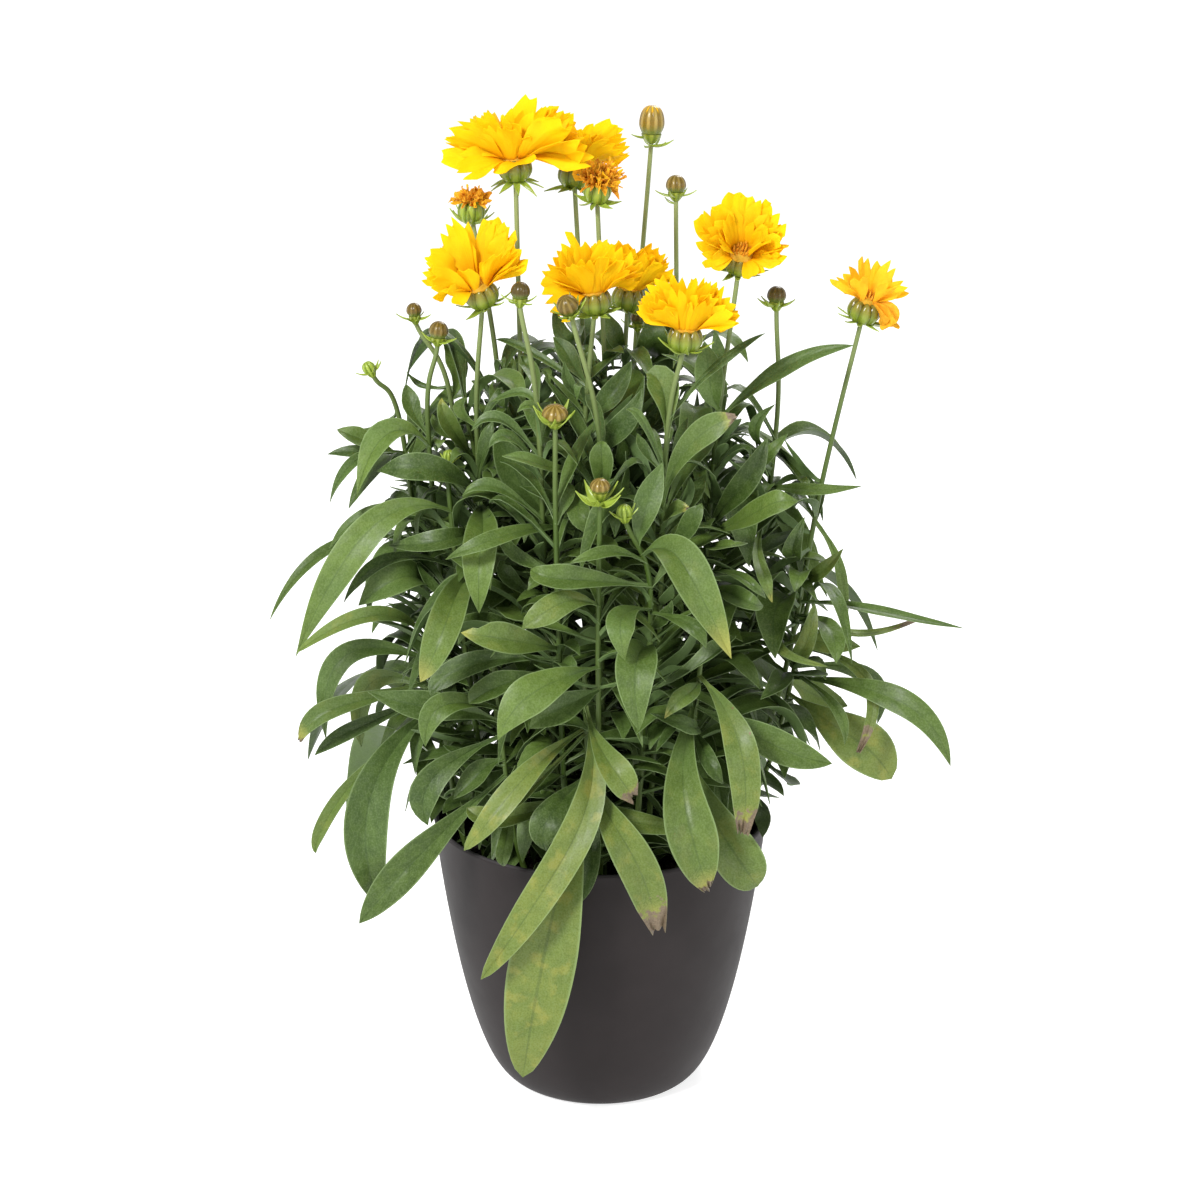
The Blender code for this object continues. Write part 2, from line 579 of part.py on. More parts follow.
def flower(shoot):
    """Points and faces of a flower's disc and petals in one skin, standing at the origin."""
    kind, radius = SHOOTS[shoot][4:]
    radius = radius * MM
    floor = CUP_HEIGHT - CUP_DEPTH + GAP
    draw = random.Random(shoot + "petals")
    disc = DISC_RADIUS if kind == "bloom" else SPENT_DISC_RADIUS
    profile = [(disc, floor), (disc, floor + 1.5 * MM), (0.8 * disc, floor + 2.7 * MM),
               (0.56 * disc, floor + 4 * MM), (0, floor + 5.5 * MM)]
    points, faces = turned(profile, DISC_SIDES)
    length = radius - disc
    rows = []
    if kind == "bloom":
        for k in OUTER_SLOTS:
            slope = (30, 20) if k % 4 else (10, 4)
            rows.append((0, k, slope, length * draw.uniform(0.94, 1.04), radius * 0.6, 3))
        for k in MIDDLE_SLOTS:
            rows.append((1, k, (50, 44), length * draw.uniform(0.92, 1.02), radius * 0.46, 2))
        for k in INNER_SLOTS:
            rows.append((2, k, (72, 66), length * draw.uniform(0.84, 0.96), radius * 0.34, 2))
    elif kind == "wilting":
        for k, slope, size in WILTING_PETALS:
            rows.append((0, k, slope, length * size, radius * 0.34, 2))
    else:
        for k in OUTER_SLOTS:
            slope = (draw.uniform(20, 60), draw.uniform(-20, 50))
            rows.append((0, k, slope, length * draw.uniform(0.8, 1.1), radius * 0.36, 2))
    taken = set()
    petals = []
    for level, k, slope, size, width, teeth in rows:
        slope = [s + draw.uniform(-3, 3) for s in slope]
        a, b = level * DISC_SIDES + k, level * DISC_SIDES + (k + 1) % DISC_SIDES
        c, d = b + DISC_SIDES, a + DISC_SIDES
        taken |= {(a, b, c), (a, c, d)}
        heading = 2 * math.pi * (k + 0.5 + draw.uniform(-0.1, 0.1)) / DISC_SIDES
        grow_petal(points, petals, (a, b, c, d), heading, slope, size, width, teeth)
    return points, [f for f in faces if tuple(f) not in taken] + petals


def bud_pieces(shoot):
    """Points and faces of the brown scales that still close a bud."""
    radius = SHOOTS[shoot][5] * MM
    tall = 2.2 if shoot == "D" else 1.65
    profile = [(0.75 * radius, GAP), (radius, 0.6 * radius),
               (0.62 * radius, 0.82 * tall * radius), (0, tall * radius)]
    return [lobed(profile, BUD_SIDES, BUD_LOBE_DEPTH)]


def carried(face, aheads, widest):
    """A blade's normals along its length: its face at its widest, carried along the bends both ways
    without a twist."""
    normals = [(face - aheads[widest] * face.dot(aheads[widest])).normalized()]
    for here, there in zip(aheads[widest:], aheads[widest + 1:]):
        normals.append(here.rotation_difference(there) @ normals[-1])
    for k in range(widest, 0, -1):
        normals.insert(0, aheads[k].rotation_difference(aheads[k - 1]) @ normals[0])
    return normals


def blade(root, middle, tip, width, face, grow=0.0, start=0.0):
    """A leaf with a narrow stalk, widest past its middle, folded a little along its midrib.

    It is flat above, with its keel below, and ends in a point. The blade may be grown all round
    and may start part of the way along.
    """
    bend = middle * 2 - (root + tip) / 2
    small = width < 9 * MM or (tip - root).length < 38 * MM
    stations = [start, 0.42, 0.76] if small else [start, 0.3, 0.6, 0.85]
    aheads = [((bend - root) * (1 - t) + (tip - bend) * t).normalized() for t in stations]
    points = []
    for t, ahead, normal in zip(stations, aheads, carried(face, aheads, len(stations) // 2)):
        centre = root * (1 - t) ** 2 + bend * 2 * t * (1 - t) + tip * t ** 2
        side = ahead.cross(normal)
        half = max(0.5 * LEAF_STALK, 0.5 * width * math.sin(math.pi * t ** 1.357) ** 0.9) + grow
        edge = normal * (0.5 * LEAF_THICKNESS + grow)
        points += [centre - side * half + edge, centre + side * half + edge, centre - edge]
    points.append(tip + (tip - middle).normalized() * grow)
    return points, rings_to_faces(len(stations), 3, closed_tip=True)


def tree_of(points, faces):
    return BVHTree.FromPolygons(points, faces)


def box_of(points, margin=LEAF_ROOM):
    low = [min(p[k] for p in points) - margin for k in range(3)]
    high = [max(p[k] for p in points) + margin for k in range(3)]
    return low, high


def note(node, points, faces, trimmed=None):
    """Remembers a piece, so that later leaves stay clear of it."""
    placed.append((node, box_of(points), tree_of(points, faces), trimmed))


def is_free(node, leaf, grown, trimmed):
    """Whether a blade clears every piece of other nodes, and the outer part of its own node's leaves."""
    low, high = box_of(grown[0])
    trees = [tree_of(*leaf), tree_of(*grown)]
    outer = tree_of(*trimmed)
    for other, (other_low, other_high), other_tree, other_outer in placed:
        if any(low[k] > other_high[k] or high[k] < other_low[k] for k in range(3)):
            continue
        if other != node:
            if any(tree.overlap(other_tree) for tree in trees):
                return False
        elif other_outer and outer.overlap(other_outer):
            return False
    return True


def seat_leaf(shoot, route, root_height, middle, tip, width, face, draw):
    """The blade at its place, or at the nearest place that is free. None where there is no room."""
    for attempt in range(ROOM_TRIES):
        reach = ROOM_STEP * attempt
        shift = Vector([draw.uniform(-1, 1) for _ in range(3)]) * reach
        sway = Vector([draw.uniform(-1, 1) for _ in range(3)]) * reach
        slide = draw.uniform(-1, 1) * reach
        look = (face + Vector([draw.uniform(-1, 1) for _ in range(3)]) * 0.012 * attempt).normalized()
        root = on_route(route, root_height + slide)
        here = (root, middle + shift, tip + sway, width, look)
        leaf = blade(*here)
        grown = blade(*here, grow=LEAF_ROOM)
        outer = blade(*here, grow=LEAF_ROOM * 0.5, start=0.16)
        if is_free(shoot, leaf, grown, outer):
            note(shoot, *leaf, trimmed=tree_of(*blade(*here, start=0.16)))
            return leaf
    return None


def pair_leaf(shoot, route, height, heading, draw):
    """Middle, tip, width and face of a leaf placed by rule: long and hanging low down, short above."""
    share = min(1, max(0, (height - 170 * MM) / (220 * MM)))
    length = (118 - 60 * share) * MM * draw.uniform(0.85, 1.15)
    width = (27 - 12 * share) * MM * draw.uniform(0.8, 1.15)
    out = Vector((math.cos(heading), math.sin(heading), 0))
    rise = (0.1 + 0.55 * share) * length * draw.uniform(0.7, 1.2)
    drop = (0.5 - 0.75 * share) * length * draw.uniform(0.8, 1.2)
    root = on_route(route, height)
    reach = length * (0.92 - 0.18 * share)
    middle = root + out * reach * 0.55 + UP * rise * 0.8
    tip = root + out * reach - UP * drop
    face = (UP * 0.6 + out * 0.3).normalized()
    return middle, tip, width, face


def make_plant(leaf_skin, petal_skin, spent_skin, bud_skin, pot, soil):
    for body in (pot, soil):
        note(body.name, [v.co for v in body.data.vertices], [p.vertices[:] for p in body.data.polygons])
    routes, parts = {}, {}
    for shoot, (*_, kind, _) in SHOOTS.items():
        route = stem_route(shoot)
        routes[shoot] = route
        radii = [STEM_FOOT_RADIUS + (STEM_TOP_RADIUS - STEM_FOOT_RADIUS) * k / len(route)
                 for k in range(len(route))]
        stem = tube(route, radii, STEM_SIDES)
        note(shoot, *stem)
        parts[shoot] = [stem]
        if kind == "shoot":
            continue
        place = head_frame(shoot)
        for points, faces in cup_pieces(shoot):
            points = [place @ p for p in points]
            parts[shoot].append((points, faces))
            note(shoot, points, faces)
        if kind == "green":
            continue
        if kind == "bud":
            name, skin, pieces = f"bud_{shoot}", bud_skin, bud_pieces(shoot)
        else:
            skin = spent_skin if kind == "spent" else petal_skin
            name, pieces = f"flower_{shoot}", [flower(shoot)]
        pieces = [([place @ p for p in points], faces) for points, faces in pieces]
        for points, faces in pieces:
            note(name, points, faces)
        fuse(name, pieces, skin)
    draw = random.Random(SEED)
    for shoot, rows in LEAVES.items():
        for root_height, middle, tip, width, turn in rows:
            face = (UP * (1 - turn) + LIGHT * turn).normalized()
            leaf = seat_leaf(shoot, routes[shoot], root_height * MM, mm(middle), mm(tip), width * MM,
                             face, draw)
            if leaf:
                parts[shoot].append(leaf)
    for shoot, low, high, pairs, start in PAIRS:
        for k in range(pairs):
            height = (low + (high - low) * k / max(1, pairs - 1)) * MM
            for half in range(2):
                heading = math.radians(start + 90 * k + 180 * half + draw.uniform(-20, 20))
                row = pair_leaf(shoot, routes[shoot], height, heading, draw)
                leaf = seat_leaf(shoot, routes[shoot], height, *row, draw)
                if leaf:
                    parts[shoot].append(leaf)
    for shoot, pieces in parts.items():
        kind = SHOOTS[shoot][4]
        name = f"leafy_shoot_{shoot}" if kind == "shoot" else f"flower_stem_{shoot}"
        fuse(name, pieces, leaf_skin)


def fuse(name, pieces, skin):
    """One object from overlapping pieces."""
    body = solid(name, *pieces[0], skin)
    others = bpy.data.collections.new(name)
    bpy.context.scene.collection.children.link(others)
    for points, faces in pieces[1:]:
        solid("piece", points, faces, home=others)
    if others.objects:
        combine(body, others, "UNION")
    else:
        bpy.data.collections.remove(others)
    return body


for old in list(bpy.data.objects):
    bpy.data.objects.remove(old)

pot_skin = material("pot_plastic", (0.042, 0.038, 0.042), 0.55)
soil_skin = material("peat", (0.02, 0.013, 0.009), 0.95)
leaf_skin = material("leaf_green", (0.09, 0.17, 0.06), 0.6)
petal_skin = material("petal_yellow", (0.95, 0.55, 0.01), 0.55)
spent_skin = material("petal_withered", (0.6, 0.25, 0.03), 0.75)
bud_skin = material("bud_brown", (0.13, 0.07, 0.025), 0.5)

pot_body = make_pot(pot_skin)
soil_body = make_soil(soil_skin)
make_plant(leaf_skin, petal_skin, spent_skin, bud_skin, pot_body, soil_body)
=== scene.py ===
import functools
import math
import random

import bpy
import numpy as np
from mathutils import Matrix, Vector, noise
from mathutils.bvhtree import BVHTree


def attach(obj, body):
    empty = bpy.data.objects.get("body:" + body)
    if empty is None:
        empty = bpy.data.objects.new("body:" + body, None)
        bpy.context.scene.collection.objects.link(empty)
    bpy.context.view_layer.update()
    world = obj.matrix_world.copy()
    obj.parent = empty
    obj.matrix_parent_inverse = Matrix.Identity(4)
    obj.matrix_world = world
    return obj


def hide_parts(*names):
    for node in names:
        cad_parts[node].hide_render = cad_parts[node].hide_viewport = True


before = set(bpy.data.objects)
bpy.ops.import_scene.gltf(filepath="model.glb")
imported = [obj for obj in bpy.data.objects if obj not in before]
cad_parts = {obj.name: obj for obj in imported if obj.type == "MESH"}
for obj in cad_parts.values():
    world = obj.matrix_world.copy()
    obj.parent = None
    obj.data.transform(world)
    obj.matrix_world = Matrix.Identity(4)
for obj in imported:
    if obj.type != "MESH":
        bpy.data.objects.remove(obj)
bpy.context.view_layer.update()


# The pot: one thin turned shell of dark matt plastic, moulded in one piece with its flat base. Its
# side bulges out of the base and stands straight at the rounded rim.
MM = 0.001
UP = Vector((0, 0, 1))
POT_HEIGHT = 151 * MM
POT_RIM_RADIUS = 90 * MM
POT_BASE_RADIUS = 47 * MM
POT_WALL = 3 * MM
POT_FLOOR = 4 * MM
RIM_ROUND = 1.5 * MM
RIM_RISE = 0.24 * MM
POT_SIDES = 160
# Powers that shape the side: the first rounds it at the rim, and the second bulges it at the base
POT_CURVE = (1.13, 0.485)
# The last colour is a painted highlight along the rim's rounded top.
PLASTIC, DUSTY_PLASTIC, RIM_HIGHLIGHT_PLASTIC = (0.0165, 0.013, 0.013), (0.0225, 0.018, 0.018), (0.055, 0.051, 0.054)
CREASE_ANGLE = 50


class Wire:
    """A socket of a material. Arithmetic on it adds Math nodes, and node() adds any other node."""

    def __init__(self, tree, socket=None):
        self.tree, self.socket = tree, socket

    def node(self, kind, settings=None, sockets=None, output=0):
        """A node of this kind: first its settings, and then the values or wires of its sockets."""
        made = self.tree.nodes.new(kind)
        for name, value in (settings or {}).items():
            setattr(made, name, value)
        for name, value in (sockets or {}).items():
            if isinstance(value, Wire):
                self.tree.links.new(value.socket, made.inputs[name])
            else:
                made.inputs[name].default_value = value
        return Wire(self.tree, made.outputs[output])

    def maths(self, operation, first, second=0.0):
        """A Math node on two values, each a number or a wire."""
        return self.node("ShaderNodeMath", {"operation": operation}, {0: first, 1: second})

    def __add__(self, other):
        return self.maths("ADD", self, other)

    def __sub__(self, other):
        return self.maths("SUBTRACT", self, other)

    def __rsub__(self, other):
        return self.maths("SUBTRACT", other, self)

    def __mul__(self, other):
        return self.maths("MULTIPLY", self, other)

    __radd__ = __add__
    __rmul__ = __mul__

    def size(self):
        """The value without its sign."""
        return self.maths("ABSOLUTE", self)

    def wave(self):
        """The sine of the value, for fine stripes."""
        return self.maths("SINE", self)

    def rise(self, low, high):
        """0 below low, 1 above high, and smooth between them. It falls where low is the greater."""
        return self.node("ShaderNodeMapRange", {"interpolation_type": "SMOOTHSTEP"},
                         {"Value": self, "From Min": low, "From Max": high})

    def blend(self, first, second):
        """The first colour where this wire is 0, and the second where it is 1."""
        colours = [c if isinstance(c, Wire) else (*c, 1) for c in (first, second)]
        return self.node("ShaderNodeMix", {"data_type": "RGBA"},
                         {0: self, 6: colours[0], 7: colours[1]}, output=2)

    def mark(self, name):
        """A value that the piece's points carry."""
        return self.node("ShaderNodeAttribute", {"attribute_name": name}, output="Fac")

    def height(self):
        """Height over the ground in metres."""
        place = self.node("ShaderNodeTexCoord", output="Object")
        return self.node("ShaderNodeSeparateXYZ", {}, {0: place}, output="Z")

    def cloud(self, scale, detail=3.0, stretch=None):
        """Soft noise round 0.5, of that many patches a metre."""
        place = self.node("ShaderNodeTexCoord", output="Object")
        if stretch:
            place = self.node("ShaderNodeVectorMath", {"operation": "MULTIPLY"}, {0: place, 1: stretch})
        return self.node("ShaderNodeTexNoise", {}, {"Vector": place, "Scale": scale, "Detail": detail})

    def relief(self, height, strength, depth, under=None):
        """Small bumps of that depth in metres, over those of another relief where one is given."""
        sockets = {"Height": height, "Strength": strength, "Distance": depth}
        if under:
            sockets["Normal"] = under
        return self.node("ShaderNodeBump", {}, sockets)


def new_skin(name):
    """A material, and a wire to draw its nodes from."""
    skin = bpy.data.materials.new(name)
    skin.use_nodes = True
    return skin, Wire(skin.node_tree)


def coat(skin, **values):
    """Sets or links the sockets of a material's own shader."""
    shader = skin.node_tree.nodes["Principled BSDF"]
    for name, value in values.items():
        socket = shader.inputs[name.replace("_", " ")]
        if isinstance(value, Wire):
            skin.node_tree.links.new(value.socket, socket)
        else:
            socket.default_value = value


class Growth:
    """The mesh of one piece as it grows: points, faces with their skins, and for each point the
    marks that the skins read."""

    MARKS = ("along", "across", "tone", "yellowing", "dryness", "underside")

    def __init__(self):
        self.points, self.faces, self.skins, self.count = [], [], [], 0
        self.marks = {name: [] for name in self.MARKS}

    def add(self, points, faces, skin=0, **marks):
        """Adds a closed form. Each mark is one value, or one for each of its points."""
        self.points.append(np.asarray(points, float))
        self.faces += [tuple(self.count + k for k in face) for face in faces]
        self.skins += [skin] * len(faces)
        self.count += len(points)
        for name, values in self.marks.items():
            values.append(np.broadcast_to(marks.get(name, 0.0), len(points)))

    def finish(self, name, node, slot, skins):
        """Makes the piece, which stands for a solid of the frame. Its slot is not used."""
        mesh = bpy.data.meshes.new(name)
        mesh.from_pydata(np.concatenate(self.points).tolist(), [], self.faces)
        mesh.polygons.foreach_set("material_index", self.skins)
        for mark, values in self.marks.items():
            values = np.concatenate(values)
            if values.any():
                made = mesh.attributes.new(mark, "FLOAT", "POINT")
                made.data.foreach_set("value", values.astype(np.float32))
        for skin in skins:
            mesh.materials.append(skin)
        mesh.shade_smooth()
        mesh.set_sharp_from_angle(angle=math.radians(CREASE_ANGLE))
        piece = bpy.data.objects.new(name, mesh)
        bpy.context.scene.collection.objects.link(piece)
        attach(piece, "root")
        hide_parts(node)
        return piece


def turned(profile, sides):
    """Points and faces of a profile turned about Z. A radius of 0 makes one point."""
    points, rings = [], []
    for radius, height in profile:
        count = sides if radius > 0 else 1
        turns = np.arange(count) * 2 * np.pi / count
        rings.append(range(len(points), len(points) + count))
        points += list(zip(radius * np.cos(turns), radius * np.sin(turns), [height] * count))
    faces = []
    for low, high in zip(rings, rings[1:]):
        for k in range(sides):
            j = (k + 1) % sides
            if len(low) == 1:
                faces.append((low[0], high[j], high[k]))
            elif len(high) == 1:
                faces.append((low[k], low[j], high[0]))
            else:
                faces.append((low[k], low[j], high[j], high[k]))
    return np.array(points), faces


def pot_radius(height):
    """Radius of the pot's outside at a height."""
    share = height / POT_HEIGHT
    swell = (1 - (1 - share) ** POT_CURVE[0]) ** POT_CURVE[1]
    return POT_BASE_RADIUS + (POT_RIM_RADIUS - POT_BASE_RADIUS) * swell


rim_centre = POT_HEIGHT + RIM_RISE - RIM_ROUND
outer = [(pot_radius(rim_centre * (k / 48) ** 2), rim_centre * (k / 48) ** 2) for k in range(49)]
rim = [(POT_RIM_RADIUS - RIM_ROUND + RIM_ROUND * math.cos(a), rim_centre + RIM_ROUND * math.sin(a))
       for a in np.linspace(0.2, math.pi, 9)]
inner = [(pot_radius(h) - POT_WALL, h) for h in np.linspace(0.97 * POT_HEIGHT, POT_FLOOR, 24)]
pot = Growth()
pot.add(*turned([(0, 0), *outer, *rim, *inner, (0, POT_FLOOR)], POT_SIDES))

plastic, wire = new_skin("pot_plastic")
# A painted highlight: the rim's rounded top is lighter all round.
rim_highlight = wire.height().rise(POT_HEIGHT - 1.0 * MM, POT_HEIGHT) * 0.7
dust = wire.cloud(28, 5.0).rise(0.35, 0.75) * 0.5
dusted = dust.blend(PLASTIC, DUSTY_PLASTIC)
dents = wire.relief(wire.cloud(90, 2.0), 0.12, 0.0004)
grain = wire.relief(wire.cloud(2600, 2.0), 0.25, 0.00006, dents)
coat(plastic, Base_Color=rim_highlight.blend(dusted, RIM_HIGHLIGHT_PLASTIC),
     Roughness=0.48 + 0.12 * wire.cloud(60, 4.0), Specular_IOR_Level=0.15, Normal=grain)
pot.finish("pot_shell", "pot", "pot", [plastic])


# The soil: dark peat that fills the pot to below its rim, crumbly on top, with loose crumbs and
# bits of bark lying on it.
SOIL_TOP = 125 * MM
SOIL_GAP = 0.9 * MM
SOIL_RINGS = 34
SOIL_SIDES = 120
SOIL_LUMPS = 2.2 * MM
SOIL_EDGE = 6 * MM
CRUMBS = 520
LARGEST_CRUMB = 3.2 * MM
CRUMB_PROFILE = [(0, -0.8), (0.8, -0.5), (1, 0), (0.75, 0.6), (0, 0.85)]
DAMP_PEAT, DRY_PEAT = (0.010, 0.007, 0.005), (0.055, 0.034, 0.02)

soil_radius = pot_radius(SOIL_TOP) - POT_WALL - SOIL_GAP


def soil_height(x, y):
    """The peat's uneven top, which lies level at the pot's wall."""
    lumps = noise.noise(Vector((x, y, 0)) * 95) + 0.6 * noise.noise(Vector((x, y, 1)) * 260)
    return SOIL_TOP + SOIL_LUMPS * lumps * min(1, (soil_radius - math.hypot(x, y)) / SOIL_EDGE)


soil = Growth()
side_heights = [POT_FLOOR + 0.3 * MM, *np.linspace(12 * MM, SOIL_TOP - 6 * MM, 10)]
sides = [(pot_radius(h) - POT_WALL - SOIL_GAP, h) for h in side_heights]
top = [(soil_radius * k / SOIL_RINGS, SOIL_TOP) for k in range(SOIL_RINGS, -1, -1)]
points, faces = turned([(0, side_heights[0]), *sides, *top], SOIL_SIDES)
for point in points:
    if point[2] == SOIL_TOP:
        point[2] = soil_height(*point[:2])
soil.add(points, faces, tone=0.0)
draw = random.Random("crumbs")
for k in range(CRUMBS):
    reach, turn = soil_radius * 0.96 * math.sqrt(draw.random()), draw.uniform(0, 2 * math.pi)
    size = draw.uniform(0.7, 1.0) ** 4 * LARGEST_CRUMB
    points, faces = turned(CRUMB_PROFILE, 7)
    stretch = np.array([draw.uniform(0.6, 1.6) for _ in range(3)]) * size
    rough = np.array([[draw.uniform(0.75, 1.2)] for _ in points])
    lie = np.array(Matrix.Rotation(draw.uniform(0, 6.3), 3, "Z") @ Matrix.Rotation(draw.random(), 3, "X"))
    spot = (reach * math.cos(turn), reach * math.sin(turn))
    soil.add((points * rough * stretch) @ lie.T + (*spot, soil_height(*spot) + 0.3 * size), faces,
             tone=draw.random())

peat, wire = new_skin("peat")
crumb = wire.mark("tone") * 0.6 + wire.cloud(420, 5.0).rise(0.35, 0.7) * 0.5
coat(peat, Base_Color=crumb.blend(DAMP_PEAT, DRY_PEAT), Roughness=0.93,
     Normal=wire.relief(wire.cloud(1500, 4.0), 0.7, 0.0006))
soil.finish("peat_soil", "soil", "soil", [peat])


# The stems: each grows straight up out of the peat and leans out smoothly to its flower, its bud or
# its top leaves. They are slim, green and finely ribbed.
#
# Each row, in millimetres: foot in the soil (x, y), a point on the way up, the head or the shoot's
# top, the head's lean to +X and +Y for each unit up, what it bears, and its radius.
SHOOTS = {
    "A": ((-22, -4), (-40, 0, 365), (-43, 0, 502), (-0.05, -0.12), "bloom", 35),
    "B": ((-8, 26), (-8, 40, 371), (-13, 42, 492), (0.1, 0.05), "bloom", 27),
    "C": ((0, 8), (3, 10, 366), (-1, 4, 490), (0.15, -0.3), "spent", 13),
    "D": ((14, 24), (18, 68, 372), (27, 62, 508), (0.03, -0.03), "bud", 6.7),
    "E": ((28, 34), (41, 60, 358), (40, 58, 478), (0, 0), "bud", 5.4),
    "F": ((-36, 14), (-53, 15, 387), (-66, 20, 477), (0.05, -0.1), "spent", 10),
    "G": ((-46, -18), (-63, -22, 369), (-60, -30, 443), (-0.28, -0.35), "bloom", 28),
    "H": ((-18, -32), (-31, -58, 385), (-39, -64, 446), (0.05, -0.1), "bud", 4.8),
    "I": ((-2, -18), (-8, -30, 361), (-3, -25, 439), (-0.1, -0.15), "bloom", 27),
    "J": ((16, 6), (12, 20, 361), (15, 32, 429), (0.15, 0.02), "bloom", 27),
    "K": ((2, -36), (0, -60, 369), (-15, -57, 438), (-0.3, -0.55), "bud", 5.5),
    "L": ((12, 44), (26, 58, 365), (20, 52, 409), (0, 0), "bud", 4),
    "M": ((24, -34), (33, -62, 374), (42, -62, 428), (0.05, -0.12), "bloom", 26),
    "N": ((38, -8), (59, -15, 357), (71, -10, 456), (0.1, -0.7), "bloom", 24),
    "O": ((54, 10), (92, 10, 361), (91, 10, 429), (0, 0), "bud", 5),
    "P": ((64, -6), (116, 0, 336), (136, 0, 429), (0.25, -0.2), "wilting", 22),
    "Q": ((-54, 6), (-77, 5, 376), (-95, 0, 424), (-0.1, -0.1), "bud", 4),
    "R": ((-62, -12), (-88, -22, 372), (-82, -20, 417), (0.1, -0.1), "bud", 5),
    "S": ((-66, 18), (-104, 8, 364), (-119, 0, 396), (-0.5, -0.1), "green", 3.5),
    "T": ((-50, -34), (-77, -38, 342), (-77, -30, 357), (0, -0.1), "green", 3.2),
    "U": ((-16, -50), (-22, -78, 337), (-22, -80, 389), (0, -0.25), "bud", 6.5),
    "V": ((0, -58), (-1, -88, 288), (0, -100, 358), (0, -0.2), "bud", 5),
    "W": ((16, -50), (25, -78, 301), (12, -90, 344), (-0.1, -0.1), "green", 4),
    "X": ((-36, 34), (-62, 2, 330), (-70, -5, 381), (0, 0), "shoot", 0),
    "Y": ((-12, 60), (-24, 84, 240), (-30, 98, 330), (0, 0), "shoot", 0),
    "Z": ((44, 42), (66, 62, 240), (78, 74, 325), (0, 0), "shoot", 0),
    "low_left": ((-68, -26), (-80, -26, 190), (-90, -20, 285), (0, 0), "shoot", 0),
    "low_left_front": ((-36, -54), (-48, -62, 190), (-54, -66, 262), (0, 0), "shoot", 0),
    "low_front": ((-4, -72), (-6, -72, 190), (-8, -76, 262), (0, 0), "shoot", 0),
    "low_right_front": ((40, -48), (45, -62, 190), (52, -70, 276), (0, 0), "shoot", 0),
    "low_right": ((68, 18), (98, 8, 200), (112, 4, 280), (0, 0), "shoot", 0),
}
FLOWER_KINDS = ("bloom", "wilting", "spent")
HOLE_DEPTH = 20 * MM
STEM_COLLAR = 4 * MM
CUP_DEPTH = 4.5 * MM
HEAD_DROP = 2 * MM
STEM_STEPS = 36
STEM_SIDES = 15
STEM_RIB = 0.06
STEM_FOOT_RADIUS = 1.9 * MM
STEM_TOP_RADIUS = 1.2 * MM
SHADED_STEM, SUNNY_STEM = (0.036, 0.072, 0.006), (0.225, 0.270, 0.100)
# The skins of a shoot's piece, by number
LEAF, STEM, CUP = range(3)


def mm(point):
    """A point that is given in millimetres."""
    return Vector(point) * MM


def head_axis(shoot):
    """The way that a shoot's flower or bud faces."""
    return Vector((*SHOOTS[shoot][3], 1)).normalized()


def smooth_route(stops, share):
    """A point on a smooth curve through the stops, which it passes at even shares."""
    place = share * (len(stops) - 1)
    leg = min(int(place), len(stops) - 2)
    u = place - leg
    before = stops[leg - 1] if leg else stops[0] * 2 - stops[1]
    start, end = stops[leg], stops[leg + 1]
    after = stops[leg + 2] if leg + 2 < len(stops) else end * 2 - start
    return 0.5 * (2 * start + (end - before) * u + (2 * before - 5 * start + 4 * end - after) * u ** 2
                  + (3 * start - before - 3 * end + after) * u ** 3)


def stem_route(shoot):
    """The middle line of a stem, from its foot down in the peat to its head or top."""
    foot, way, head, *_ = SHOOTS[shoot]
    low = mm((*foot, 0)) + UP * (SOIL_TOP - HOLE_DEPTH)
    collar = mm((*foot, 0)) + UP * (SOIL_TOP + STEM_COLLAR)
    way, head = mm(way), mm(head)
    lift = collar.lerp(way, 0.45)
    lift.xy = collar.xy.lerp(way.xy, 0.62)
    stops = [collar, lift, way, head - head_axis(shoot) * CUP_DEPTH]
    return [low] + [smooth_route(stops, k / STEM_STEPS) for k in range(STEM_STEPS + 1)]


def tube(route, radii, sides, rib=0.0):
    """Points and faces of a closed tube along a route, with a rib on every third side."""
    points = []
    for k, middle in enumerate(route):
        ahead = route[min(k + 1, len(route) - 1)] - route[max(k - 1, 0)]
        turn = UP.rotation_difference(ahead.normalized()).to_matrix()
        for side in range(sides):
            angle = 2 * math.pi * side / sides
            reach = radii[k] * (1 + rib * math.cos(2 * math.pi * side / 3))
            points.append(middle + turn @ Vector((math.cos(angle), math.sin(angle), 0)) * reach)
    faces = [tuple(range(sides - 1, -1, -1)), tuple(range(len(points) - sides, len(points)))]
    for a in range(len(points) - sides):
        b = a + 1 if (a + 1) % sides else a + 1 - sides
        faces.append((a, b, b + sides, a + sides))
    return points, faces


class Room:
    """What stands where, so that later leaves stay clear of it."""

    def __init__(self):
        self.owners, self.trees, self.outer_trees = [], [], []
        self.boxes = np.empty((0, 2, 3))

    def note(self, owner, points, faces, outer_tree=None):
        """Keeps a form in mind. Outer is its part away from the stem, where it is a leaf."""
        cloud = np.array([tuple(p) for p in points])
        self.owners.append(owner)
        self.trees.append(BVHTree.FromPolygons([Vector(p) for p in cloud], faces))
        self.outer_trees.append(outer_tree)
        box = [[cloud.min(0) - MM, cloud.max(0) + MM]]
        self.boxes = np.concatenate([self.boxes, box])

    def is_free(self, owner, points, tree, outer_tree):
        """Whether a form clears all that others own, and its owner's leaves with its outer part."""
        cloud = np.array([tuple(p) for p in points])
        near = (self.boxes[:, 0] <= cloud.max(0)).all(1) & (self.boxes[:, 1] >= cloud.min(0)).all(1)
        for k in np.nonzero(near)[0]:
            if self.owners[k] != owner:
                if tree.overlap(self.trees[k]):
                    return False
            elif self.outer_trees[k] and outer_tree.overlap(self.outer_trees[k]):
                return False
        return True


room = Room()
for node in ("pot", "soil"):
    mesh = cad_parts[node].data
    room.note(node, [v.co for v in mesh.vertices], [tuple(p.vertices) for p in mesh.polygons])

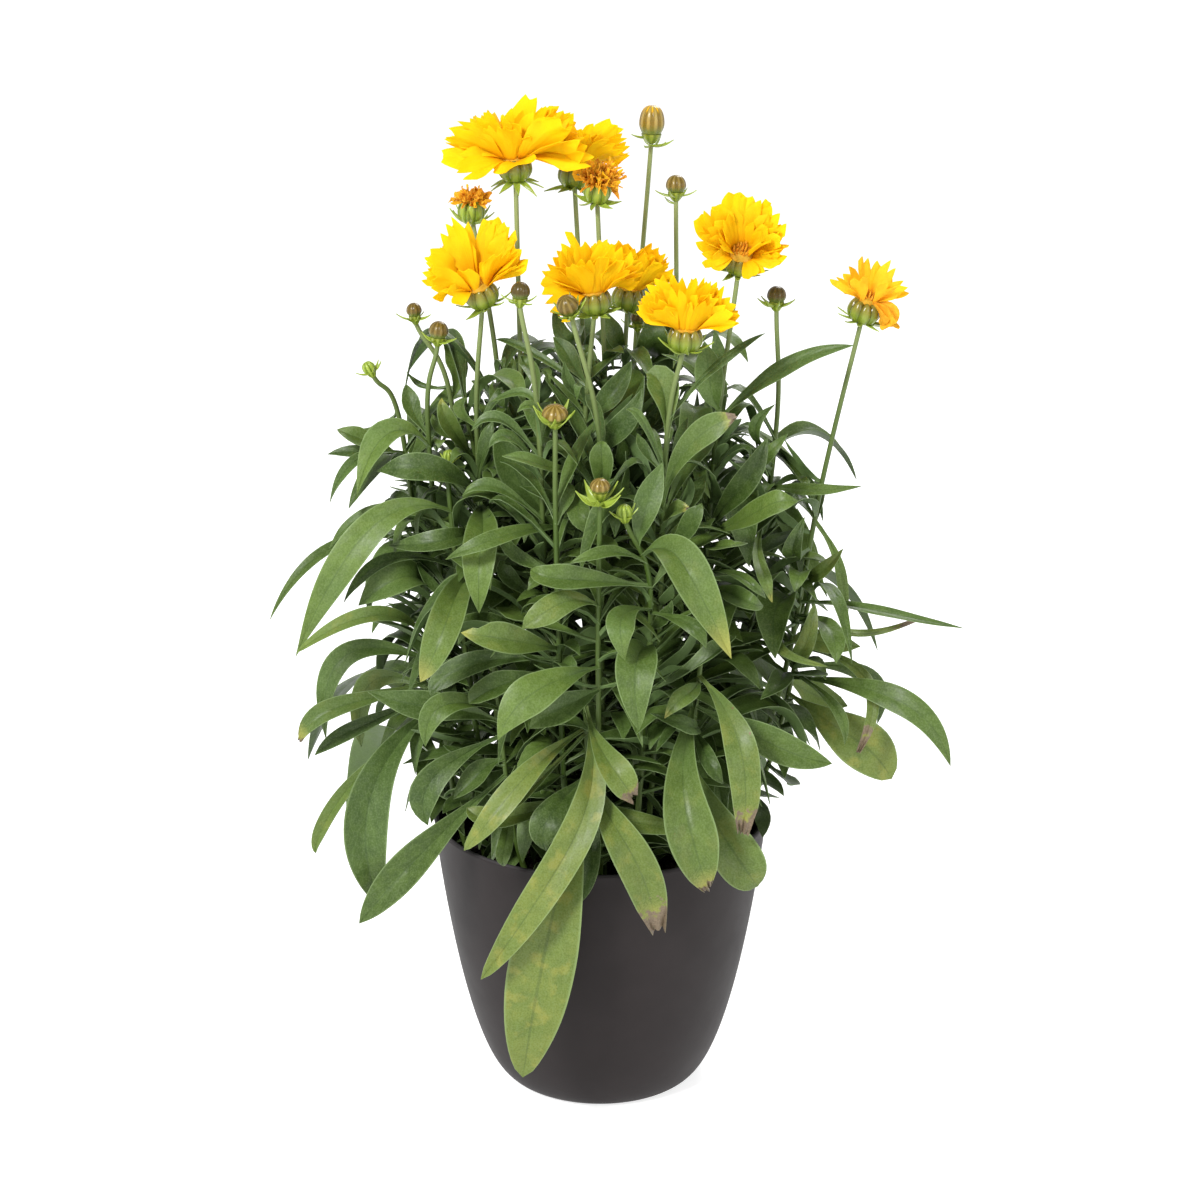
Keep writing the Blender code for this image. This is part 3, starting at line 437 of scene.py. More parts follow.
growths, routes = {}, {}
for shoot in SHOOTS:
    growths[shoot] = Growth()
    routes[shoot] = route = stem_route(shoot)
    share = np.linspace(0, 1, len(route))
    radii = STEM_FOOT_RADIUS + (STEM_TOP_RADIUS - STEM_FOOT_RADIUS) * share ** 0.4
    points, faces = tube(route, radii, STEM_SIDES, STEM_RIB)
    growths[shoot].add(points, faces, STEM, along=np.repeat(share, STEM_SIDES),
                       tone=random.Random(shoot + "stem").random())
    room.note(shoot, points, faces)

stem_green, wire = new_skin("stem_green")
patches = wire.cloud(40, 3.0, (1, 1, 0.35)).rise(0.3, 0.7)
lit = wire.height().rise(0.33, 0.5) * 0.8 + 0.1 * wire.mark("tone") + 0.15 * patches
coat(stem_green, Base_Color=lit.blend(SHADED_STEM, SUNNY_STEM),
     Roughness=0.45 + 0.1 * patches, Specular_IOR_Level=0.3,
     Normal=wire.relief(wire.cloud(900, 3.0, (1, 1, 0.12)), 0.35, 0.0002))


# The cups and sepals: under each flower, fleshy green bracts close into a lobed cup, tinted olive
# and brown above, and narrow green sepals stand out round its foot. They grow from the stem.
CUP_RADIUS = 8.8 * MM
SPENT_CUP_RADIUS = 7.2 * MM
CUP_SIDES = 96
CUP_LOBES = 8
CUP_LOBE_DEPTH = 0.09
CUP_SCALLOP = 4.5 * MM
FLOWER_SEPALS = 8
# Sepals of the buds that are opening: length in millimetres, rise for each unit of it, and width
WIDE_SEPALS = {"U": (11, 1.2, 4.4), "V": (13, 0.9, 3.8), "K": (10, 0.9, 3.2), "O": (10, 0.6, 2.2)}
BUD_SEPALS = 6
SEPAL_WIDTH = 2.8 * MM
BUD_SEPAL_WIDTH = 1.7 * MM
SEPAL_THICKNESS = 0.5 * MM
# Share of the cup's radius, and height in millimetres from the middle of the head
CUP_PROFILE = [(0, -8), (0.22, -7.9), (0.45, -7.4), (0.68, -6.3), (0.86, -4.7), (0.97, -2.8),
               (1, -1.2), (0.975, 0.5), (0.91, 1.9), (0.83, 3), (0.76, 3.7), (0.62, 4), (0, 3.9)]
# Rise of the sepals' tips under each flower, for each unit of length
SEPAL_RISES = {"A": -0.5, "B": -0.2, "C": 0.15, "F": 0.8, "G": 0.3, "I": 0.2, "J": 0.2, "M": 0.6,
               "N": 0.35, "P": 0.1}


@functools.lru_cache(None)
def sheet_faces(rows, columns):
    """Faces of a thin closed blade: its upper points come first, row by row, and then its lower."""
    under = rows * columns
    faces = []
    for row in range(rows - 1):
        for a in range(row * columns, row * columns + columns - 1):
            faces.append((a, a + 1, a + 1 + columns, a + columns))
            faces.append(tuple(k + under for k in reversed(faces[-1])))
    edge = [*range(columns), *range(2 * columns - 1, under, columns),
            *range(under - 2, under - columns - 1, -1), *range(under - 2 * columns, 0, -columns)]
    for a, b in zip(edge, edge[1:] + edge[:1]):
        faces.append((b, a, a + under, b + under))
    return faces


def add_sheet(growth, skin, grid, thickness, lay=None, **marks):
    """Adds a thin closed blade round a grid of points, rows along it and columns across it."""
    if lay is not None:
        grid = grid @ np.array(lay.to_3x3()).T + np.array(lay.translation)
    normal = np.cross(np.gradient(grid, axis=1), np.gradient(grid, axis=0))
    normal /= np.linalg.norm(normal, axis=2, keepdims=True) + 1e-15
    offset = normal * 0.5 * thickness
    points = np.concatenate([(grid + offset).reshape(-1, 3), (grid - offset).reshape(-1, 3)])
    for name, values in marks.items():
        if isinstance(values, np.ndarray):
            marks[name] = np.tile(np.broadcast_to(values, grid.shape[:2]).ravel(), 2)
    underside = np.repeat([0.0, 1.0], len(points) // 2)
    growth.add(points, sheet_faces(*grid.shape[:2]), skin, underside=underside, **marks)


def framed(centres, face, widest):
    """Directions ahead, across and out of a blade along its middle line. Its face is given where it
    is widest, and is carried along the bends both ways without a twist."""
    last = len(centres) - 1
    aheads = [(centres[min(k + 1, last)] - centres[max(k - 1, 0)]).normalized()
              for k in range(last + 1)]
    normals = [(face - aheads[widest] * face.dot(aheads[widest])).normalized()]
    for here, there in zip(aheads[widest:], aheads[widest + 1:]):
        normals.append(here.rotation_difference(there) @ normals[-1])
    for k in range(widest, 0, -1):
        normals.insert(0, aheads[k].rotation_difference(aheads[k - 1]) @ normals[0])
    across = [ahead.cross(normal) for ahead, normal in zip(aheads, normals)]
    return np.array(aheads), np.array(across), np.array(normals)


def head_frame(shoot):
    """A turn and shift from a head standing at the origin to its place on the stem."""
    turn = UP.rotation_difference(head_axis(shoot)).to_matrix().to_4x4()
    drop = HEAD_DROP if SHOOTS[shoot][4] in FLOWER_KINDS else 0
    return Matrix.Translation(mm(SHOOTS[shoot][2]) - head_axis(shoot) * drop) @ turn


def laid(points, lay):
    """Points of a head that stands at the origin, moved to its place on the stem."""
    return np.asarray(points) @ np.array(lay.to_3x3()).T + np.array(lay.translation)


def lobed(profile, sides, lobes, depth, scallop=0.0):
    """A turned form with rounded lobes and sharp grooves between them. Scallop lifts the upper
    edge's lobes."""
    points, faces = turned(profile, sides)
    lobe = np.abs(np.cos(0.5 * lobes * np.arctan2(points[:, 1], points[:, 0])))
    reach = np.hypot(points[:, 0], points[:, 1])
    points[:, :2] *= (1 - depth * (1 - lobe) ** 1.8)[:, None]
    low, high = points[:, 2].min(), points[:, 2].max()
    share = (points[:, 2] - low) / (high - low)
    points[:, 2] += scallop * np.clip(share - 0.6, 0, 1) * (lobe - 0.4) * (reach > 0.5 * reach.max())
    return points, faces, share, lobe


def add_sepal(growth, lay, heading, length, rise, droop, width, tilt, tone):
    """A narrow pointed sepal that leaves the cup's foot, sags and turns up at its tip."""
    out = Vector((math.cos(heading), math.sin(heading), 0))
    root = Vector((0, 0, -6.3 * MM if length > 12 * MM else -0.45 * CUP_DEPTH))
    along = np.linspace(0, 1, 11)
    centres = [root + out * length * 0.92 * t
               + UP * length * (rise * 0.62 * t ** 2.2 - droop * t * (1 - t) * 1.6) for t in along]
    _, across, normal = framed(centres, UP + out.cross(UP) * tilt, 5)
    half = 0.5 * width * np.maximum(0.08, (1 - along ** 3) * (0.75 + 0.5 * np.sin(np.pi * along)))
    columns = np.array([-1, -0.5, 0, 0.5, 1])
    x = half[:, None] * columns
    grid = (np.array(centres)[:, None] + across[:, None] * x[..., None]
            + normal[:, None] * (0.35 * np.abs(x))[..., None])
    add_sheet(growth, CUP, grid, SEPAL_THICKNESS, lay, along=along[:, None] * np.ones(5) * 0.3,
              across=0.85, tone=tone)


def flower_cup(radius):
    """Profile of the cup under a flower."""
    return [(share * radius, height * MM) for share, height in CUP_PROFILE]


def bud_cup(radius):
    """Profile of the shallow cup that a brown bud sits in."""
    heights = np.linspace(-CUP_DEPTH - 0.4 * MM, 0, 9)
    side = [(radius * (0.3 + 0.5 * math.sin(0.5 * math.pi * k / 8)), h) for k, h in enumerate(heights)]
    return [(0, -5.2 * MM), *side, (0.5 * radius, 0.35 * MM), (0, 0.3 * MM)]


def green_bud(radius):
    """Profile of a bud that is still green and shut, in one form with its cup."""
    low = [(0.42 * radius, -4.8 * MM), (0.62 * radius, -3.6 * MM), (0.85 * radius, -1.8 * MM)]
    crown = [(radius * math.cos(a) ** 0.8, 0.1 * radius + 1.05 * radius * math.sin(a))
             for a in np.linspace(0, 0.5 * math.pi, 9)[:-1]]
    return [(0, -5 * MM), *low, *crown, (0, 1.15 * radius)]


for shoot, (*_, kind, radius) in SHOOTS.items():
    if kind == "shoot":
        continue
    radius = radius * MM
    lay = head_frame(shoot)
    draw = random.Random(shoot)
    if kind in FLOWER_KINDS:
        cup = SPENT_CUP_RADIUS if kind == "spent" else CUP_RADIUS
        form = lobed(flower_cup(cup), CUP_SIDES, CUP_LOBES, CUP_LOBE_DEPTH, CUP_SCALLOP)
        count, length, rise = FLOWER_SEPALS, cup + 7 * MM, SEPAL_RISES[shoot]
        tone = 0.1 if kind == "spent" else 0.8
    elif kind == "bud":
        form = lobed(bud_cup(radius), 48, CUP_LOBES, 0.06)
        count = BUD_SEPALS + 2 * (shoot in WIDE_SEPALS)
        length, rise, tone = 1.1 * radius + 5 * MM, 0.45, 0.3
    else:
        form = lobed(green_bud(radius), 64, CUP_LOBES, 0.16)
        count, length, rise, tone = BUD_SEPALS, 1.2 * radius + 4 * MM, 0.6, 0.0
    points, faces, share, lobe = form
    points = laid(points, lay)
    growths[shoot].add(points, faces, CUP, along=share, across=lobe, tone=tone)
    room.note(shoot, points, faces)
    for k in range(count):
        heading = 2 * math.pi * (k + 0.25 * draw.uniform(-1, 1)) / count
        reach = length * draw.uniform(0.85, 1.12)
        slope = rise + draw.uniform(-0.25, 0.25)
        droop = 0.16 if kind == "bloom" else 0.12
        width = SEPAL_WIDTH if kind in FLOWER_KINDS else BUD_SEPAL_WIDTH
        if shoot in WIDE_SEPALS:
            reach, slope, width = (value * draw.uniform(0.9, 1.1) for value in WIDE_SEPALS[shoot])
            reach, width = reach * MM, width * MM
        add_sepal(growths[shoot], lay, heading, reach, slope, droop, width, draw.uniform(-0.8, 0.8),
                  0.35 * tone)

cup_green, wire = new_skin("cup_green")
up, lobe = wire.mark("along"), wire.mark("across")
# A painted highlight: the green is lighter along each lobe's bulging crest.
crest_highlight = lobe.rise(0.55, 0.98) * 0.55 + wire.cloud(700, 3.0) * 0.2
fresh = crest_highlight.blend((0.135, 0.205, 0.012), (0.34, 0.43, 0.065))
# Painted shade: darker as the tone rises, most on the cups of open and wilting flowers.
fresh = (wire.mark("tone") * 0.45).blend(fresh, (0.07, 0.085, 0.004))
tint = wire.mark("tone") * up.rise(0.4, 0.95)
# The brown is also lighter on the crests, a painted highlight.
ripe = (lobe * wire.cloud(300, 2.0)).blend((0.10, 0.062, 0.008), (0.25, 0.19, 0.028))
# Painted shade: the grooves between the bracts are darkened.
groove_shaded = (lobe.rise(0.22, 0.0) * 0.5).blend(tint.blend(fresh, ripe), (0.04, 0.045, 0.008))
coat(cup_green, Base_Color=groove_shaded, Roughness=0.32 - 0.08 * tint, Specular_IOR_Level=0.35,
     Normal=wire.relief(wire.cloud(600, 3.0), 0.25, 0.0003))


# The petals: each flower is double, a ragged fan of thin yellow petals with toothed ends. The outer
# ones spread, the inner ones stand up round a small orange disc, and the oldest have withered to
# curled orange strips.
DISC_RADIUS = 6.4 * MM
SPENT_DISC_RADIUS = 4.4 * MM
DISC_FLOOR = 3.9 * MM
PETAL_THICKNESS = 0.3 * MM
TOOTH_WIDTH = 4.6 * MM
MOST_TEETH = 4
FLORETS = {"bloom": 26, "wilting": 12, "spent": 12}
# Strips of each withered flower: their number, and how steeply the inner ones stand
SPENT_STRIPS = {"C": (150, 1.0), "F": (70, 0.35)}
LIGHT = Vector((0, -1, 0))
# Height over the disc's floor, and share of the disc's radius, at which each row of petals leaves it
PETAL_LEVELS = [(0.3 * MM, 0.85), (1.6 * MM, 0.72), (2.6 * MM, 0.5)]
# The petals that show from the front. Each row: the way it points in degrees, from right over up to
# left, how far it leans to the viewer, the length that shows and the width in millimetres, and how
# hollow it is.
PETALS = {
    "A": [(162, 0.1, 34, 20, 0.3), (151, 0.44, 33, 17, 0.3), (140, 0.1, 32, 19, 0.3),
          (130, 0.44, 29, 16, 0.3), (115, 0.15, 30, 19, 0.25), (106, 0.66, 22, 14, 0.4),
          (182, 0.66, 25, 15, 0.3), (95, 0.73, 20, 9, 0.8), (210, 0.6, 9, 6, 0.8),
          (-72, 4, 3, 20, 0.4),
          (33, 0.62, 33, 27, 0.7), (12, 0.1, 35, 19, 0.25), (22, 0.1, 34, 20, 0.2),
          (38, -0.1, 35, 20, 0.3), (48, 0.1, 32, 18, 0.3), (59, 0.15, 32, 19, 0.25),
          (68, 0.1, 32, 22, 0.2), (81, 0.15, 26, 20, 0.35), (64, 0.51, 28, 18, 0.4),
          (62, 0.7, 19, 20, 2.2)],
    "B": [(26, 0.1, 29, 18, 0.3), (45, 0.1, 29, 18, 0.3), (61, 0.1, 26, 18, 0.2),
          (76, 0.44, 23, 17, 0.4), (90, 0.1, 24, 18, 0.2), (106, 0.1, 25, 17, 0.3),
          (125, 0.1, 26, 16, 0.3), (147, 0.1, 26, 17, 0.3), (33, 0.62, 25, 16, 0.5)],
    "G": [(148, -0.1, 31, 5, 0.8), (149, 0.44, 27, 17, 0.3), (134, 0.1, 29, 15, 0.3),
          (120, 0, 33, 12, 0.3), (107, 0.1, 31, 6, 0.8), (92, -0.2, 33, 26, 0.15),
          (76, -0.1, 30, 18, 0.3), (67, 0, 33, 11, 0.4), (55, 0.1, 31, 20, 0.25),
          (67, 0.51, 24, 14, 0.4), (167, 0.73, 24, 17, 0.4), (109, 0.5, 16, 9, 0.9),
          (186, 0.9, 13, 10, 0.8), (85, 0.5, 16, 8, 0.9)],
    "I": [(140, 0.1, 29, 15, 0.4), (151, 0.44, 26, 14, 0.3), (123, 0.1, 29, 18, 0.3),
          (107, 0.15, 28, 17, 0.3), (94, 0.1, 29, 20, 0.2), (81, 0.15, 28, 18, 0.2),
          (67, 0.1, 27, 18, 0.3), (53, 0.44, 25, 16, 0.3), (38, 0.44, 22, 15, 0.4),
          (187, 0.62, 22, 17, 0.3), (203, 0.43, 18, 14, 0.4), (114, 0.66, 22, 14, 0.5),
          (92, 0.51, 25, 15, 0.5), (69, 0.51, 23, 15, 0.5)],
    "J": [(93, 0.1, 28, 18, 0.2), (107, 0.1, 27, 18, 0.3), (80, 0.15, 27, 17, 0.3),
          (69, 0.1, 28, 17, 0.3), (58, 0.1, 29, 17, 0.3), (46, 0.15, 28, 16, 0.3),
          (34, 0.55, 24, 15, 0.4), (123, 0.1, 25, 16, 0.3), (140, 0.44, 22, 15, 0.3),
          (99, 0.51, 24, 16, 0.5), (74, 0.51, 25, 16, 0.5), (52, 0.51, 24, 15, 0.5)],
    "M": [(134, 0.15, 30, 18, 0.3), (121, 0.15, 27, 15, 0.3), (149, 0.15, 23, 8, 0.5),
          (110, 0.1, 25, 13, 0.3), (101, 0.66, 26, 7, 0.7), (91, 0.1, 29, 16, 0.2),
          (80, 0.15, 29, 15, 0.3), (69, 0.1, 28, 15, 0.3), (58, 0.15, 26, 15, 0.3),
          (46, 0.44, 24, 15, 0.3), (33, 0.15, 26, 12, 0.3), (22, 0.44, 24, 10, 0.4),
          (96, 0.62, 20, 6, 0.9), (84, 0.62, 21, 6, 0.9), (69, 0.62, 22, 12, 0.6),
          (118, 0.51, 22, 13, 0.6), (138, 0.62, 20, 13, 0.5)],
    "N": [(126, 0.1, 29, 18, 0.25), (114, 0, 27, 16, 0.3), (100, 0.1, 22, 13, 0.3),
          (87, 0, 28, 22, 0.2), (73, 0.1, 26, 16, 0.3), (59, 0.05, 28, 20, 0.25),
          (45, 0.1, 24, 16, 0.3), (33, 0.44, 21, 18, 0.3), (16, 0.66, 18, 15, 0.3),
          (-7, 0.8, 13, 11, 0.6), (-58, 0.9, 9, 8, 0.8), (155, 0.66, 18, 15, 0.4),
          (140, 0.44, 22, 16, 0.3), (143, 0, 27, 4, 0.6), (181, 0.7, 13, 10, 0.6),
          (64, 0.5, 14, 5, 0.8)],
    "P": [(138, 0, 20, 6, 0.8), (119, 0.1, 22, 9, 0.6), (98, 0.44, 17, 8, 0.6),
          (84, 0, 22, 13, 0.4), (58, 0, 25, 8, 0.6), (46, 0.44, 17, 8, 0.8),
          (27, 0.1, 23, 7, 0.8), (15, -0.1, 25, 4, 0.8), (140, -0.6, 17, 8, 0.7),
          (50, -0.8, 17, 8, 0.7)],
}
# The withered petals that hang from the wilting flower: heading, slopes, length and width
DROOPING_PETALS = [(-22, (-10, -70), 17, 15), (-40, (-5, -85), 14, 9), (5, (0, -60), 15, 7)]
# Rows of petals behind those: number, level, slopes in degrees, and the petals' length and width as
# shares of the flower's radius
FILLING = [(8, 0, (26, 38, 50), 0.84, 0.64), (5, 1, (56, 66), 0.78, 0.64)]
# Where those rows start and how far they run round the head, in degrees
FILLING_START, FILLING_SPAN = -12, 204
# The flowers that are open enough to have the first of those rows alone
OPEN_FLOWERS = ("A", "G")


def seen_from_front(lay, angle, lean):
    """Heading and slope, on a head laid so, of a petal that points this way in the picture, and the
    twist that would show its full face there."""
    angle = math.radians(angle)
    turn = lay.to_3x3().inverted()
    way = turn @ Vector((math.cos(angle), -lean, math.sin(angle))).normalized()
    heading, slope = math.atan2(way.y, way.x), math.asin(max(-1, min(1, way.z)))
    normal = UP * math.cos(slope) - Vector((math.cos(heading), math.sin(heading), 0)) * math.sin(slope)
    viewer = turn @ LIGHT
    full = math.atan(-viewer.dot(way.cross(normal)) / (viewer.dot(normal) + 1e-6))
    return heading, math.degrees(slope), full


def add_petal(growth, lay, heading, slopes, length, width, draw, level=0, hollow=0.35, ruffle=0.1,
              twist=0.0, tone=0.5, dryness=0.0, tooth=0.17, disc=DISC_RADIUS):
    """A petal from the disc's rim, narrow at its foot and widest near its toothed end, with a soft
    pleat behind each tooth.

    Slopes are in degrees at its foot and at its end. Hollow draws its edges up into a trough, and
    ruffle waves its end.
    """
    teeth = min(MOST_TEETH, max(1, round(width / TOOTH_WIDTH)))
    lift, share = PETAL_LEVELS[level]
    out = Vector((math.cos(heading), math.sin(heading), 0))
    # The middle line, which bends from the first slope to the second
    middle = out * disc * share + UP * (DISC_FLOOR + lift)
    along = np.array([0, 0.1, 0.22, 0.36, 0.5, 0.63, 0.75, 0.84, 0.91, 0.96, 1])
    before, centres = 0.0, []
    for t in along:
        angle = math.radians(slopes[0] + (slopes[1] - slopes[0]) * t ** 1.3)
        middle = middle + (out * math.cos(angle) + UP * math.sin(angle)) * (t - before) * length
        before = t
        centres.append(middle)
    slope = math.radians(slopes[0])
    ahead, across, normal = framed(centres, UP * math.cos(slope) - out * math.sin(slope), 1)
    # The end: rounded teeth of uneven length, cut back a little at the petal's corners
    columns = np.linspace(-1, 1, 6 * max(teeth, 2) + 1)
    peaks = 1 - np.abs((0.5 * teeth * (columns + 1)) % 1 * 2 - 1) ** 1.25
    notches = np.linspace(-1, 1, teeth + 1)
    sizes = np.interp(columns, notches, [draw.uniform(0.3, 1.7) for _ in notches])
    crests = np.interp(columns, notches, [draw.uniform(0, 0.15) for _ in notches])
    end = 1 - crests - tooth * (1 - peaks) * sizes - draw.uniform(0.02, 0.14) * np.abs(columns) ** 2.5
    end -= draw.uniform(-0.1, 0.1) * columns
    # The outline, then the relief across it: a trough, a waved end and the pleats
    full = np.sin(0.5 * np.pi * np.minimum(1, along / 0.82))
    half = 0.5 * width * (0.22 + 0.78 * full ** 1.1)[:, None]
    lean = draw.uniform(-0.1, 0.1) * length * along ** 2
    share = along[:, None]
    x = half * columns
    roll = twist * np.minimum(1, 1.6 * share)
    wave = ruffle * half * share ** 3 * np.sin(columns * draw.uniform(3, 5) + draw.uniform(0, 6.3))
    pleat = 0.07 * half * (peaks - 0.5) * share
    rise = hollow * (0.5 + 0.7 * (1 - share)) * x ** 2 / half + wave + pleat
    side = across[:, None] * np.cos(roll)[..., None] + normal[:, None] * np.sin(roll)[..., None]
    outward = normal[:, None] * np.cos(roll)[..., None] - across[:, None] * np.sin(roll)[..., None]
    reach = (end - 1) * length * share ** 2
    grid = (np.array(centres)[:, None] + ahead[:, None] * reach[..., None]
            + side * (x + lean[:, None])[..., None] + outward * rise[..., None])
    add_sheet(growth, 0, grid, PETAL_THICKNESS, lay, along=np.broadcast_to(share, x.shape),
              across=np.broadcast_to(columns, x.shape), tone=tone, dryness=dryness)


def add_disc(growth, lay, radius, florets, draw):
    """The flower's low disc, with small pointed florets on it."""
    profile = [(0, DISC_FLOOR - 0.2 * MM), (0.92 * radius, DISC_FLOOR - 0.2 * MM),
               (radius, DISC_FLOOR + 0.8 * MM), (0.85 * radius, DISC_FLOOR + 2.0 * MM),
               (0.55 * radius, DISC_FLOOR + 3.2 * MM), (0, DISC_FLOOR + 3.8 * MM)]
    points, faces = turned(profile, 24)
    growth.add(laid(points, lay), faces, 0, along=0.05, tone=0.3, dryness=0.35)
    for k in range(florets):
        turn, reach = k * 2.4, math.sqrt((k + 0.5) / florets) * 0.6
        out = Vector((math.cos(turn), math.sin(turn), 0))
        root = out * radius * reach + UP * (DISC_FLOOR + 1.5 * MM + 2.0 * MM * (1 - reach))
        tip = root + out * reach * draw.uniform(0.5, 2.5) * MM + UP * draw.uniform(1.5, 4) * MM
        points, faces = tube([root, root.lerp(tip, 0.6), tip], [0.6 * MM, 0.55 * MM, 0.25 * MM], 6)
        growth.add(laid(points, lay), faces, 0, along=0.15, tone=draw.random(),
                   dryness=0.35 + 0.35 * draw.random())


def add_filling(growth, lay, radius, rows, draw):
    """The petals behind those that show from the front."""
    for count, level, slopes, reach, width in rows:
        for k in range(count):
            place = FILLING_START + FILLING_SPAN * (k + draw.uniform(-0.25, 0.25)) / (count - 1)
            slope = slopes[k % len(slopes)] + draw.uniform(-6, 6)
            add_petal(growth, lay, math.radians(place), (slope + 7, slope - 8),
                      radius * reach * draw.uniform(0.85, 1.1),
                      radius * width * draw.uniform(0.8, 1.15), draw, level=level,
                      hollow=draw.uniform(0.0, 0.35), twist=draw.uniform(-0.5, 0.5),
                      tone=draw.random())


def let_light_through(skin, wire, colour, share):
    """Mixes the light that comes through a thin petal or leaf into its skin, by this share."""
    surface = Wire(wire.tree, skin.node_tree.nodes["Principled BSDF"].outputs[0])
    glow = wire.node("ShaderNodeBsdfTranslucent", {}, {"Color": colour})
    mixed = wire.node("ShaderNodeMixShader", {}, {0: share, 1: surface, 2: glow})
    wire.tree.links.new(mixed.socket, skin.node_tree.nodes["Material Output"].inputs[0])


blooms = {}
for shoot, (*_, kind, radius) in SHOOTS.items():
    if kind not in FLOWER_KINDS:
        continue
    radius = radius * MM
    lay = head_frame(shoot)
    draw = random.Random(shoot + "petals")
    disc = DISC_RADIUS if kind == "bloom" else SPENT_DISC_RADIUS
    growth = blooms[shoot] = Growth()
    dryness = 0.22 if kind == "wilting" else 0.0
    for angle, lean, length, width, hollow in PETALS.get(shoot, []):
        length *= draw.uniform(0.9, 1.06) * math.hypot(1, lean)
        heading, slope, full = seen_from_front(lay, angle, lean)
        level = 0 if slope < 35 or lean > 0.05 else 1 if slope < 60 else 2
        arch = draw.uniform(2, 12)
        add_petal(growth, lay, heading, (slope + arch, slope - arch), (length - 1) * MM,
                  1.15 * width * MM, draw, level=level, hollow=0.6 * hollow,
                  twist=0.75 * full + draw.uniform(-0.3, 0.3) * (3 if kind == "wilting" else 1),
                  tone=draw.random(), dryness=dryness, disc=disc)
    add_disc(growth, lay, disc, FLORETS[kind], draw)
    if kind == "bloom":
        add_filling(growth, lay, radius, FILLING[:1] if shoot in OPEN_FLOWERS else FILLING, draw)
    elif kind == "wilting":
        for heading, slopes, length, width in DROOPING_PETALS:
            add_petal(growth, lay, math.radians(heading), slopes, length * MM, width * MM, draw,
                      hollow=1.1, ruffle=0.7, tone=0.1, dryness=0.35, disc=disc)
    else:
        strips, spread = SPENT_STRIPS[shoot]
        for k in range(strips):
            steep = k / strips
            slopes = (10 + 60 * steep * spread + draw.uniform(-12, 12), draw.uniform(-60, 110))
            add_petal(growth, lay, 2.4 * k + draw.uniform(-0.2, 0.2), slopes,
                      (radius - 0.4 * disc) * draw.uniform(0.7, 1.2) * (1 - 0.2 * steep),
                      draw.uniform(1.0, 3.0) * MM, draw, level=min(2, int(3 * steep)),
                      hollow=draw.uniform(-1.2, 1.4), ruffle=0.4, twist=draw.uniform(-2.5, 2.5),
                      tone=draw.random(), dryness=draw.uniform(0.2, 0.65), tooth=0.2, disc=disc)
    room.note(f"flower_{shoot}", np.concatenate(growth.points), growth.faces)

petal_yellow, wire = new_skin("petal_yellow")
along, across = wire.mark("along"), wire.mark("across")
veins = (across * 34 + wire.cloud(160, 2.0) * 5).wave()
# Orange towards each petal's foot: partly the flower's own orange eye, partly painted shade deep in the
# flower.
towards_foot = along.rise(0.5, 0.0)
tone = wire.mark("tone") * 0.55 + wire.cloud(130, 3.0).rise(0.3, 0.7) * 0.45
yellow = tone.blend((0.93, 0.635, 0.003), (0.96, 0.745, 0.010))
orange_eye_and_shade = (towards_foot * 0.4).blend(yellow, (0.92, 0.42, 0.003))
# The foot itself is darkest, the same mix of orange eye and painted shade.
orange_eye_and_shade = (along.rise(0.13, 0.0) * 0.8).blend(orange_eye_and_shade, (0.60, 0.17, 0.005))
dry = wire.mark("dryness")
curled = (wire.cloud(420, 4.0) * (0.5 + dry)).rise(0.3, 0.75)
crisp = curled.blend((0.94, 0.62, 0.07), (0.66, 0.29, 0.015))
withered = dry.rise(0.0, 0.5).blend(orange_eye_and_shade, crisp)
coat(petal_yellow, Base_Color=withered, Roughness=0.55 + 0.1 * tone, Specular_IOR_Level=0.14,
     Normal=wire.relief(veins, 0.18, 0.0002, wire.relief(wire.cloud(900, 3.0), 0.15, 0.0002)))
let_light_through(petal_yellow, wire, withered, 0.55)

for shoot, growth in blooms.items():
    slot = "withered_petal" if SHOOTS[shoot][4] == "spent" else "petal"
    growth.finish(f"petals_{shoot}", f"flower_{shoot}", slot, [petal_yellow])


# The buds: glossy ribbed scales, green below and brown above, still closed over the petals. The
# ripest let the yellow through at their tips.
BUD_SIDES = 80
BUD_RIBS = 10
BUD_RIB_DEPTH = 0.055
BUD_SEAT = 0.3 * MM
# Height for each unit of radius, and the share of it at which a bud is widest
BUD_HEIGHT, BUD_HEIGHTS = 1.65, {"D": 2.2, "U": 1.15, "V": 1.3}
BUD_WIDEST = 0.36
# How far each bud has ripened, from dark brown to bronze with yellow showing
BUDS = {"D": 0.95, "E": 0.5, "H": 0.0, "K": 0.35, "L": 0.3, "O": 0.1, "Q": 0.25, "R": 0.3, "U": 0.62,
        "V": 0.55}

bud_brown, wire = new_skin("bud_brown")
up, rib, ripe = wire.mark("along"), wire.mark("across"), wire.mark("tone")
dark = ripe.blend((0.040, 0.026, 0.004), (0.165, 0.105, 0.010))
ridges = rib.rise(0.55, 1.0) * (0.02 + 0.6 * ripe) + wire.cloud(500, 3.0) * 0.1
ridged = ridges.blend(dark, (0.42, 0.31, 0.09))
green = (up.rise(0.42, 0.0) * 0.9).blend(ridged, (0.12, 0.17, 0.035))
opening = ripe.rise(0.6, 0.95) * up.rise(0.72, 0.95) * rib.rise(0.75, 0.15)
tips = opening.blend(green, (0.80, 0.42, 0.01))
coat(bud_brown, Base_Color=tips, Roughness=0.22 + 0.1 * wire.cloud(300, 2.0), Specular_IOR_Level=0.28,
     Normal=wire.relief(wire.cloud(700, 3.0), 0.2, 0.0002))

